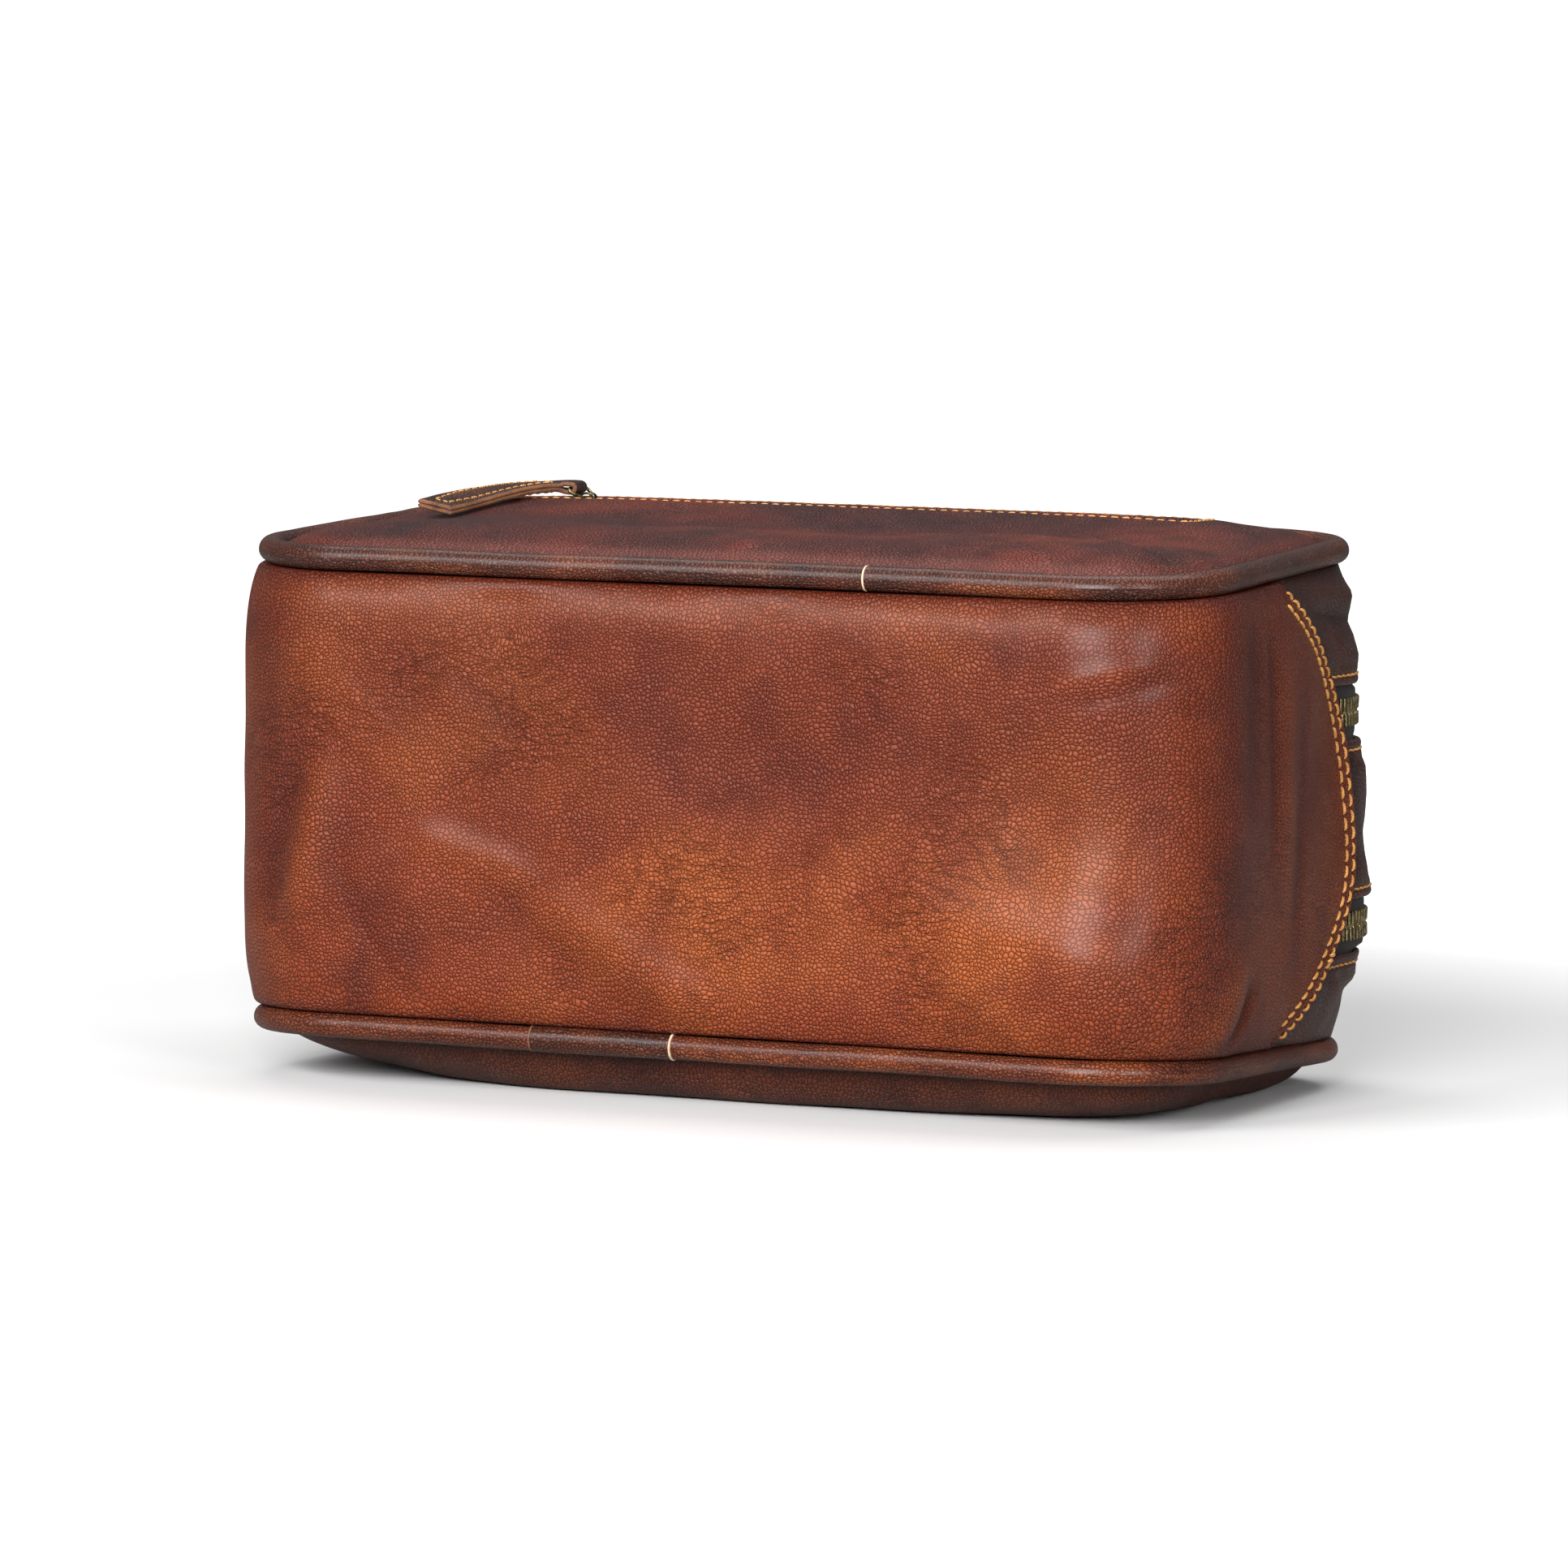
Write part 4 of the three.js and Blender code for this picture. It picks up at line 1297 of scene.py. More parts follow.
@dataclass
class BaseAndEnds(SubAssembly):
    """The strip of leather that makes the base and both ends, with its two stitched tongues."""

    edge_steps: tuple[float, ...] = (9.0, 7.8, 6.7, 5.7, 5.1, 4.5, 3.9, 3.3, 2.7, 2.1, 1.6, 1.1, 0.7, 0.35, 0.0)
    outer_row: float = 1.9
    inner_row: float = 5.1
    turned_in: float = 6.5
    edge_round: float = 1.2
    # How strongly the ends, the upper half of the base and its left end are darkened with painted shade.
    end_shade: float = 0.62
    upper_shade: float = 0.46
    left_shade: float = 0.3
    relief: Relief = Relief(
        shapes=(
            Fold((-103, 38), (-66, 4), 7.0, 0.7),
            Fold((-97, 25), (-73, 2), 2.2, 0.35),
            Fold((-90, 33), (-70, 14), 1.6, -0.28),
            Hollow((-70, -20), (13, 9), 2.2),
            Fold((-70, -8), (-38, -18), 5.0, 1.5),
            Fold((-42, -20), (10, -50), 7.0, 2.0),
            Fold((-46, -24), (-8, -46), 9.0, -0.8),
            Fold((-93, 10), (-101, -30), 5.0, 1.8),
            Fold((-101, 8), (-112, -30), 6.0, -1.4),
            Fold((-84, -30), (-70, -50), 1.5, -0.5),
            Fold((-90, -14), (-82, -34), 3.0, -0.6),
            Hollow((-54, 25), (8, 7), 0.7),
            Fold((-64, 34), (-40, 16), 4.0, -0.5),
            Hollow((20, 10), (34, 17), -2.4),
            Hollow((92, 4), (24, 17), -3.2),
            Fold((52, -20), (112, -30), 8.0, 1.2),
            Hollow((94, -36), (26, 13), 2.2),
            Fold((93, 34), (116, 40), 2.4, 0.5),
            Fold((96, 29), (120, 36), 2.0, -0.4),
            Fold((152, -38), (136, -58), 2.4, -1.5),
            Fold((146, -30), (128, -56), 5.0, 1.0),
            Fold((160, 46), (163, -6), 2.2, -0.8),
            Fold((170, 40), (172, -20), 5.0, 0.8),
            Fold((183, 30), (180, -36), 3.5, -0.7),
            Fold((150, 48), (146, 4), 6.0, -1.0),
            Fold((-150, 40), (-158, -30), 6.0, -0.9),
            Fold((-172, 30), (-168, -34), 4.5, 0.8),
            Fold((-140, -34), (-152, -52), 3.0, -0.9),
        ),
        slack=0.9,
        slack_size=34.0,
        seed=11,
    )

    def lattice(self) -> tuple[Array, Array, Array]:
        """Return the strip's grid: distance along, height from the middle, and how far each row turns in.

        Returns:
            The three grids.
        """
        wall = stations((-1.0, 1.0, 0.0235))
        share = 0.7 * wall + 0.3 * np.sin(wall * math.pi / 2)
        quarter = np.linspace(0, math.pi / 2, 6)[1:]
        flange = np.linspace(0.15, 1.0, 6)[1:] * self.turned_in
        tail_up = np.concatenate([self.edge_round * np.sin(quarter), np.full(5, self.edge_round)])
        tail_in = np.concatenate([self.edge_round * (1 - np.cos(quarter)), self.edge_round + flange])
        shares = np.concatenate([-np.ones(10), share, np.ones(10)])
        extra = np.concatenate([-tail_up[::-1], np.zeros(len(share)), tail_up])
        turned = np.concatenate([tail_in[::-1], np.zeros(len(share)), tail_in])
        fixed = stations((-FORM.end_start, FORM.end_start, 1.35))
        tongue = np.linspace(0, 1, 30)[1:]
        tip = FORM.tongue_end(shares * FORM.half_depth(0.0))[:, None]
        steps = np.array(self.edge_steps)[None, :]
        first = tip - steps[:, :1]
        grown = FORM.end_start + (first - FORM.end_start) * tongue[None, :]
        right = np.concatenate([grown, tip - steps[:, 1:]], axis=1)
        distance = np.concatenate([-right[:, ::-1], np.tile(fixed, (len(shares), 1)), right], axis=1)
        y = FORM.outline(distance)[1]
        up = shares[:, None] * (FORM.half_depth(y) - self.edge_round) + extra[:, None]
        return distance, up, np.broadcast_to(turned[:, None], distance.shape)

    def edge_line(self, inset: float, side: int) -> Array:
        """Return a line inside a tongue's edge, on the flat leather.

        Args:
            inset: how far inside the edge.
            side: +1 for the right tongue and -1 for the left one.

        Returns:
            Places along and up.
        """
        half = FORM.half_depth(0.0)
        up = np.linspace(-half + 1.0, half - 1.0, 240)
        line = np.stack([FORM.tongue_end(up), up], axis=1)
        along = unit(np.gradient(line, axis=0))
        moved = line + inset * np.stack([-along[:, 1], along[:, 0]], axis=1)
        return moved * [side, 1]

    def from_edge(self, distance: Array, up: Array) -> Array:
        """Return how far places on the leather are from the nearer tongue's edge.

        Args:
            distance: how far along the outline.
            up: how far up from the middle.

        Returns:
            The distances, up to 99.
        """
        line = self.edge_line(0.0, 1)[::3]
        places = np.stack([np.abs(distance).ravel(), up.ravel()], axis=1)
        near = np.full(len(places), 99.0)
        close = places[:, 0] > FORM.end_start + 20
        picked = places[close]
        near[close] = np.sqrt(((picked[:, None] - line[None]) ** 2).sum(-1)).min(1)
        return near.reshape(distance.shape)

    def surface(self, distance: Array, up: Array, turned: Array | float = 0.0) -> Array:
        """Return points on the outer face of the leather.

        Args:
            distance: how far along the outline.
            up: how far up from the middle.
            turned: how far the leather is turned in below its face.

        Returns:
            The points.
        """
        y = FORM.outline(distance)[1]
        half = FORM.half_depth(y)
        calm = 1 - smoothstep(np.abs(up), half - 6, half)
        edge = self.from_edge(distance, up)
        lift = self.relief.lift(distance, up) * calm * smoothstep(edge, 2.0, 14.0)
        pucker = 0.22 * soft_noise(distance, up * 0.3, 5.0, 5) * np.exp(-(half - np.abs(up)) / 7.0)
        ripple = 0.16 * soft_noise(distance, up, 3.2, 6) * np.exp(-edge / 6.0)
        dips = 0.0
        for row in (self.outer_row, self.inner_row):
            dips = dips + 0.24 * np.exp(-(((edge - row) / 0.6) ** 2))
        puff = 0.22 * np.exp(-(((edge - 0.5 * (self.outer_row + self.inner_row)) / 0.9) ** 2))
        return FORM.on_wall(distance, up, turned - lift - pucker - ripple + dips - puff)

    def build(self) -> None:
        """Build the leather and sew the tongues."""
        distance, up, turned = self.lattice()
        outer = self.surface(distance, up, turned)[:, ::-1]
        shade, rub = self.relief.marks(distance, up)
        y = FORM.outline(distance)[1]
        half = FORM.half_depth(y)
        # Painted shade along the seams by the piping, on both ends, over the upper half of the base and towards its
        # left end; a painted highlight along the upper shoulder under the front piping.
        seam = np.exp(-np.maximum(0, half - np.abs(up)) / 1.6)
        ends = self.end_shade * smoothstep(np.abs(distance), 114, 140)
        upper = self.upper_shade * smoothstep(up, -28, 22) * (1 - smoothstep(np.abs(distance), 108, 130))
        left = self.left_shade * smoothstep(-distance, 92, 112)
        shoulder = np.exp(-(((half - up - 5) / 4.0) ** 2)) * (1 - smoothstep(np.abs(distance), 90, 130))
        shade = np.clip(shade + 0.8 * seam + np.maximum(ends, left) + upper, 0, 1)
        rub = np.clip(rub + 0.35 * shoulder, 0, 1)
        stock = Stock()
        lay, shade, rub = np.stack([distance, up], -1)[:, ::-1], shade[:, ::-1], rub[:, ::-1]
        add_leather(stock, outer, FORM.leather, lay, rim_finish=1, shade=shade, rub=rub)
        piece = stock.build("base_and_ends_leather", (COGNAC, TAN_EDGE))
        self.put(piece, "shell", "tan_leather", ("base_and_ends_gusset",))
        for side, word in ((1, "right"), (-1, "left")):
            self.sew_tongue(side, word)

    def sew_tongue(self, side: int, word: str) -> None:
        """Sew both rows of stitches along one tongue's edge.

        Args:
            side: +1 for the right tongue and -1 for the left one.
            word: its word in the piece's name.
        """
        stock = Stock()
        for inset, bow in ((self.outer_row, 0.6 * side), (self.inner_row, 0.0)):
            line = self.edge_line(inset, side)
            path = self.surface(line[:, 0], line[:, 1])
            nudged = self.surface(line[:, 0], line[:, 1], 1.0)
            Stitching(pitch=3.9, radius=0.42, bow=bow).sew(stock, path, unit(path - nudged))
        knot = self.edge_line(self.outer_row + 0.3, side)
        where = np.abs(knot[:, 1] + 36) < 1.6
        path = self.surface(knot[where, 0], knot[where, 1], -0.5)
        out = unit(path - self.surface(knot[where, 0], knot[where, 1], 1.0))
        Stitching(pitch=2.2, radius=0.5, slant=0.5).sew(stock, path, out)
        self.put(stock.build(f"tongue_stitches_{word}", (THREAD,)), "shell")


# ---------------------------------------------------------------- zipped top


@dataclass(frozen=True)
class FoldedEdge:
    """The turned edge of a leather strip beside a zip, with its row of stitches."""

    nose: float = 1.1
    row: float = 2.4
    dip: float = 0.38
    puff: float = 0.35
    steps: tuple[float, ...] = (0.0, 0.12, 0.35, 0.7, 1.1, 1.5, 1.9, 2.2, 2.4, 2.6, 2.9, 3.4, 4.2, 5.2, 6.6)

    def drop(self, inset: Array, shown: Array | float = 1.0) -> Array:
        """Return how far in from its plain face the leather lies, at distances from the edge.

        Args:
            inset: how far from the edge.
            shown: 1 where the leather is free and 0 where something lies on it.

        Returns:
            The drop, below 0 where the leather puffs up.
        """
        near = np.clip(1 - inset / self.nose, 0, 1)
        rounded = self.nose * (1 - np.sqrt(1 - near**2)) * 0.7
        dipped = self.dip * np.exp(-(((inset - self.row) / 0.5) ** 2))
        puffed = self.puff * np.exp(-(((inset - 6.5) / 3.2) ** 2)) * shown
        return rounded + dipped - puffed


class Strip(Enum):
    """The three leather strips of the zipped top."""

    FRONT = "front"
    MIDDLE = "middle"
    BACK = "back"


@dataclass
class ZippedTop(SubAssembly):
    """The three leather strips of the zipped top, which run under both tongues."""

    zip_offsets: dict[str, float] = field(default_factory=lambda: {"front": 22.0, "back": -30.0})
    depth: float = 1.9
    lap: float = 9.0
    folded: FoldedEdge = FoldedEdge()
    relief: Relief = Relief(
        shapes=(
            Fold((196, 47), (250, 42), 2.2, -1.1),
            Fold((196, 53), (240, 50), 2.6, 1.3),
            Fold((200, 39), (236, 35), 2.4, 0.5),
            Fold((214, 10), (234, -20), 3.0, -1.3),
            Fold((222, 14), (244, -12), 3.0, 1.2),
            Fold((204, 0), (216, -22), 2.6, 0.6),
            Fold((212, -40), (240, -52), 3.0, -1.5),
            Fold((206, -46), (236, -42), 3.0, 0.8),
            Fold((262, 12), (300, -14), 5.0, -0.7),
            Fold((330, 8), (372, -16), 6.0, 0.8),
            Fold((400, 12), (436, -14), 5.0, -0.7),
            Fold((300, 50), (352, 38), 5.0, -0.6),
            Fold((420, 36), (470, 52), 4.0, 0.6),
            Fold((486, 12), (508, -16), 3.0, -0.8),
            Fold((500, 40), (528, 50), 3.0, -0.9),
            Fold((490, -42), (520, -52), 3.0, -0.8),
        ),
        slack=0.4,
        slack_size=15.0,
        seed=23,
    )

    def columns(self, up: Array, lap: float) -> Array:
        """Return distances along the outline for each row, from under one tongue to under the other.

        Args:
            up: each row's height from the middle.
            lap: how far it runs under a tongue.

        Returns:
            The distances, by row and column.
        """
        start = FORM.tongue_end(up)[:, None] - lap
        near = np.linspace(0, 1, 22)[None, :]
        first = start + (FORM.end_stop - start) * near
        middle = stations((FORM.end_stop, FORM.half_round, 1.7))[1:]
        half = np.concatenate([first, np.tile(middle, (len(up), 1))], axis=1)
        return np.concatenate([half, 2 * FORM.half_round - half[:, -2::-1]], axis=1)

    def shown(self, distance: Array, up: Array) -> Array:
        """Return 0 under the tongues and 1 where the strip is free of them."""
        folded = np.minimum(distance, 2 * FORM.half_round - distance)
        return smoothstep(folded - FORM.tongue_end(up), -1.0, 7.0)

    def surface(self, distance: Array, up: Array, inset: Array, turned: Array | float = 0.0) -> Array:
        """Return points on a strip's outer face.

        Args:
            distance: how far along the outline.
            up: how far up from the middle.
            inset: how far from the strip's nearest folded edge.
            turned: how far the leather is turned in below its face.

        Returns:
            The points.
        """
        free = self.shown(distance, up)
        y = FORM.outline(distance)[1]
        calm = (1 - smoothstep(np.abs(up), FORM.half_depth(y) - 4, FORM.half_depth(y))) * smoothstep(inset, 1.5, 6)
        lift = free * (self.relief.lift(distance, up) * calm)
        pucker = 0.14 * soft_noise(distance, inset * 0.4, 4.0, 8) * np.exp(-inset / 3.0) * (0.3 + 0.7 * free)
        return FORM.on_wall(distance, up, self.depth + turned + self.folded.drop(inset, free) - lift - pucker)

    def build(self) -> None:
        """Build the three strips and sew their folded edges."""
        front, back = self.zip_offsets["front"], self.zip_offsets["back"]
        window = FORM.window_half
        self.outer_strip(Strip.FRONT, front + window, 1)
        self.middle_strip(back + window, front - window)
        self.outer_strip(Strip.BACK, back - window, -1)
        stock = Stock()
        row = self.folded.row
        for edge, toward in ((front + window, 1), (front - window, -1), (back + window, 1), (back - window, -1)):
            self.sew_row(stock, edge + toward * row)
        self.put(stock.build("zipped_top_stitches", (THREAD,)), "shell")

    def sew_row(self, stock: Stock, up: float) -> None:
        """Sew one row of stitches beside a zip, from tongue to tongue.

        Args:
            stock: the mesh the stitches go into.
            up: the row's height from the middle.
        """
        start = float(FORM.tongue_end(np.array(up))) - 1.5
        distance = stations((start, 2 * FORM.half_round - start, 0.8))
        height = np.full_like(distance, up)
        path = self.surface(distance, height, np.full_like(distance, self.folded.row))
        deeper = self.surface(distance, height, np.full_like(distance, self.folded.row), 1.0)
        Stitching(pitch=3.1, radius=0.32, gap=0.5).sew(stock, path, unit(path - deeper))

    def finish_strip(self, name: Strip, distance: Array, up: Array, inset: Array, turned: Array) -> None:
        """Make a strip's leather from its grid.

        Args:
            name: which strip it is.
            distance: how far along the outline.
            up: how far up from the middle.
            inset: how far from the strip's nearest folded edge.
            turned: how far the leather is turned in below its face.
        """
        outer = self.surface(distance, up, inset, turned)
        shade, rub = self.relief.marks(distance, up)
        free = self.shown(distance, up)
        # Painted shadow under the tongues and painted shade in the stitch groove; a painted highlight, with a little
        # rubbing, along the folded edge.
        shade = np.clip(shade + 0.9 * (1 - free) + 0.4 * np.exp(-(((inset - self.folded.row) / 0.7) ** 2)), 0, 1)
        rub = np.clip(rub + 0.5 * np.exp(-inset / 1.0), 0, 1)
        stock = Stock()
        lay = np.stack([distance, up], -1)
        add_leather(stock, outer, FORM.leather, lay, shade=shade, rub=rub)
        piece = stock.build(f"top_strip_{name.value}_leather", (DARK,))
        self.put(piece, "shell", "dark_leather", (f"top_strip_{name.value}",))

    def outer_strip(self, name: Strip, edge: float, toward: int) -> None:
        """Build the strip between a zip and the seam of a panel.

        Args:
            name: which strip it is.
            edge: its folded edge's height from the middle.
            toward: +1 towards the front panel and -1 towards the back one.
        """
        half = FORM.half_depth(0.0)
        width = half - abs(edge)
        steps = np.array(self.folded.steps)
        rest = stations((steps[-1], width, 1.5))[1:]
        flange = np.linspace(0.3, 1.0, 4) * 5.0
        inset = np.concatenate([steps, rest, np.full(4, width)])
        turned = np.concatenate([np.zeros(len(steps) + len(rest)), flange])
        share = inset / width
        guess = edge + toward * inset
        distance = self.columns(guess, self.lap)
        y = FORM.outline(distance)[1]
        up = edge + share[:, None] * (toward * FORM.half_depth(y) - edge)
        grids = [distance, up, np.broadcast_to(inset[:, None], up.shape), np.broadcast_to(turned[:, None], up.shape)]
        if toward > 0:
            grids = [grid[::-1] for grid in grids]
        self.finish_strip(name, *grids)

    def middle_strip(self, low: float, high: float) -> None:
        """Build the strip between the two zips.

        Args:
            low: its lower folded edge's height from the middle.
            high: its upper one's.
        """
        steps = np.array(self.folded.steps)
        body = stations((low + steps[-1], high - steps[-1], 1.5))[1:-1]
        up = np.concatenate([low + steps, body, (high - steps)[::-1]])[::-1]
        distance = self.columns(up, self.lap)
        height = np.broadcast_to(up[:, None], distance.shape)
        inset = np.minimum(height - low, high - height)
        self.finish_strip(Strip.MIDDLE, distance, height, inset, np.zeros_like(distance))


# ---------------------------------------------------------------- panels


@dataclass
class FrontPanel(SubAssembly):
    """The front panel, with the folded window of its pocket zip."""

    rise: float = 7.2
    dome_power: float = 6.0
    seat: float = 0.9
    pocket_y: float = 38.0
    window_from: float = -93.0
    window_to: float = 87.0
    folded: FoldedEdge = FoldedEdge(puff=0.25)
    lip: float = 2.6
    relief: Relief = Relief(
        shapes=(
            Hollow((-102, -4), (17, 20), -2.0),
            Hollow((10, -8), (95, 22), -3.7),
            Hollow((60, -22), (30, 14), 0.6),
            Fold((92, -20), (113, -47), 1.3, -1.3, True),
            Fold((86, -22), (108, -52), 3.0, 0.7),
            Fold((101, -16), (119, -40), 4.0, 0.8),
            Fold((28, -16), (84, -26), 3.5, 0.8),
            Fold((34, -8), (80, -14), 3.0, -0.7),
            Fold((-30, -30), (20, -22), 5.0, 0.6),
            Fold((-86, 8), (-40, 0), 5.0, -0.6),
            Fold((-60, -18), (-20, -26), 5.0, -0.5),
            Fold((96, 44), (112, 20), 2.5, -0.8),
            Fold((-112, 30), (-100, 8), 3.0, -0.7),
            Hollow((80, 36), (16, 14), -0.7),
        ),
        slack=0.35,
        slack_size=22.0,
        seed=31,
    )

    def face(self, x: Array, y: Array) -> Array:
        """Return the height of the panel's outer face.

        Args:
            x: places along the bag.
            y: places up from the bag's middle, towards the zipped top.

        Returns:
            The heights.
        """
        rim = FORM.inside_rim(x, y)
        inset = self.from_window(x, y)
        calm = smoothstep(rim, 2.0, 10.0) * smoothstep(inset, 2.0, 9.0)
        sag = self.relief.lift(x, y) * calm
        pucker = 0.25 * soft_noise(x, y, 6.0, 9) * np.exp(-rim / 6.0) * smoothstep(rim, 0.0, 2.0)
        edge = 0.12 * soft_noise(x, y, 4.0, 10) * np.exp(-inset / 4.0) - self.folded.drop(inset)
        dome = FORM.dome(x, y, FORM.length / 2 - FORM.panel_inset + 2.0, self.dome_power)
        return FORM.middle + FORM.seam_offset(y) + self.seat + self.rise * dome + sag + pucker + edge

    def from_window(self, x: Array, y: Array) -> Array:
        """Return how far places are from the pocket's window.

        Args:
            x: places along the bag.
            y: places up from the bag's middle, towards the zipped top.

        Returns:
            The distances, 0 inside it.
        """
        past = np.maximum(self.window_from - x, x - self.window_to)
        beside = np.abs(y - self.pocket_y) - FORM.window_half
        outside = np.hypot(np.maximum(past, 0), np.maximum(beside, 0))
        return np.maximum(outside + np.minimum(np.maximum(past, beside), 0), 0)

    def build(self) -> None:
        """Build the leather and sew the window."""
        a, b = FORM.length / 2 - FORM.panel_inset, FORM.height / 2 - FORM.panel_inset
        low, high = self.pocket_y - FORM.window_half, self.pocket_y + FORM.window_half
        steps = np.array(self.folded.steps)
        left = self.window_from - steps[::-1]
        right = self.window_to + steps
        before = stations((-a, -a + 9, 0.7), (-a + 9, left[0], 1.4))[:-1]
        beside = stations((self.window_from, self.window_to, 1.5))[1:-1]
        after = stations((right[-1], a - 9, 1.4), (a - 9, a, 0.7))[1:]
        under = stations((-b, -b + 9, 0.6), (-b + 9, low - steps[-1], 1.4))[:-1]
        over = stations((high + steps[-1], b, 0.8))[1:]
        x = np.concatenate([before, left, beside, right, after])
        y = np.concatenate([under, low - steps[::-1], [self.pocket_y], high + steps, over])
        flat_x, flat_y = np.meshgrid(x, y)
        px, py = FORM.spread(flat_x, flat_y)
        z = self.face(px, py)
        outer = np.stack([px, py, z], -1)
        lips = [outer[k] + [0, inward, -self.lip] for k, inward in ((0, 0.25), (-1, -0.25))]
        outer = np.concatenate([lips[0][None], outer, lips[1][None]])
        sides = [self.side_lip(outer[:, k])[:, None] for k in (0, -1)]
        outer = np.concatenate([sides[0], outer, sides[1]], axis=1)
        cell_x = 0.5 * (flat_x[1:, 1:] + flat_x[:-1, :-1])
        cell_y = 0.5 * (flat_y[1:, 1:] + flat_y[:-1, :-1])
        hole = (cell_x > self.window_from) & (cell_x < self.window_to) & (cell_y > low) & (cell_y < high)
        keep = np.pad(~hole, 1, constant_values=True)
        grid_x, grid_y = outer[..., 0], outer[..., 1]
        shade, rub = self.relief.marks(grid_x, grid_y)
        rim = FORM.inside_rim(grid_x, grid_y)
        inset = self.from_window(grid_x, grid_y)
        # Painted shade next to the piping and in the stitch groove round the window; a painted highlight along the
        # rolled shoulder inside the rim.
        shade = shade + np.exp(-np.maximum(rim, 0) / 1.2) + 0.4 * np.exp(-(((inset - self.folded.row) / 0.8) ** 2))
        rub = np.clip(rub + 0.6 * np.exp(-(((rim - 4.0) / 2.5) ** 2)), 0, 1)
        grids = (outer, outer[..., :2], keep, np.clip(shade, 0, 1), rub)
        outer, lay, keep, shade, rub = (grid.swapaxes(0, 1) for grid in grids)
        stock = Stock()
        add_leather(stock, outer, FORM.leather, lay, keep, shade=shade, rub=rub)
        piece = stock.build("front_panel_leather", (OXBLOOD,))
        self.put(piece, "shell", "oxblood_leather", ("front_panel",))
        self.sew_window()

    def side_lip(self, column: Array) -> Array:
        """Return a column of points below the panel's rim, at its left or right.

        Args:
            column: the points at the rim.

        Returns:
            The column.
        """
        lowered = column.copy()
        lowered[1:-1, 2] -= self.lip
        lowered[:, 0] *= 0.998
        return lowered

    def sew_window(self) -> None:
        """Sew the row of stitches round the pocket's window."""
        row = self.folded.row
        low, high = self.pocket_y - FORM.window_half - row, self.pocket_y + FORM.window_half + row
        left, right = self.window_from - row, self.window_to + row
        corners = ((left, low), (right, low), (right, high), (left, high), (left, low))
        stock = Stock()
        for (x0, y0), (x1, y1) in zip(corners, corners[1:]):
            count = max(8, int(max(abs(x1 - x0), abs(y1 - y0)) / 0.8))
            x, y = np.linspace(x0, x1, count), np.linspace(y0, y1, count)
            path, out = np.stack([x, y, self.face(x, y)], -1), np.tile([0.0, 0, 1], (count, 1))
            Stitching(pitch=3.0, radius=0.33, gap=0.45, sink=0.25).sew(stock, path, out)
        self.put(stock.build("pocket_window_stitches", (THREAD,)), "shell")


@dataclass
class BackPanel(SubAssembly):
    """The back panel, whose belly the bag lies on."""

    rise: float = 17.0
    seat: float = 0.9
    lowest_at: float = 8.0
    belly_half: float = 128.0
    belly_power: float = 2.4
    softness: float = 0.5
    relief: Relief = Relief(
        shapes=(
            Fold((-80, -44), (-30, -52), 4.0, 0.6),
            Fold((20, -46), (80, -40), 5.0, -0.6),
            Fold((96, 30), (112, -10), 4.0, -0.8),
            Fold((-112, 20), (-98, -30), 4.0, -0.8),
        ),
        slack=0.3,
        slack_size=20.0,
        seed=41,
    )

    def face(self, x: Array, y: Array) -> Array:
        """Return the height of the panel's outer face, which flattens where it rests.

        Args:
            x: places along the bag.
            y: places up from the bag's middle, towards the zipped top.

        Returns:
            The heights.
        """
        rim = FORM.inside_rim(x, y)
        belly = FORM.dome(x, y, self.belly_half, self.belly_power, self.lowest_at)
        free = FORM.middle - FORM.seam_offset(y) - self.seat - self.rise * belly
        free = free - self.relief.lift(x, y) * smoothstep(rim, 2.0, 10.0)
        return 0.5 * (free + np.sqrt(free * free + 4 * self.softness**2)) * smoothstep(free, -6.0, 1.5)

    def build(self) -> None:
        """Build the leather."""
        a, b = FORM.length / 2 - FORM.panel_inset, FORM.height / 2 - FORM.panel_inset
        x = stations((-a, -a + 12, 0.8), (-a + 12, a - 12, 2.0), (a - 12, a, 0.8))
        y = stations((-b, -b + 14, 0.7), (-b + 14, b - 14, 2.0), (b - 14, b, 0.7))
        px, py = FORM.spread(*np.meshgrid(x, y))
        z = self.face(px, py)
        outer = np.stack([px, py, z], -1)
        rim = FORM.inside_rim(px, py)
        shade, rub = self.relief.marks(px, py)
        # Painted shade next to the piping.
        shade = np.clip(shade + np.exp(-np.maximum(rim, 0) / 1.5), 0, 1)
        stock = Stock()
        add_leather(stock, outer, FORM.leather, np.stack([px, py], -1), shade=shade, rub=rub)
        piece = stock.build("back_panel_leather", (BELLY,))
        self.put(piece, "shell", "oxblood_leather", ("back_panel",))


# ---------------------------------------------------------------- piping


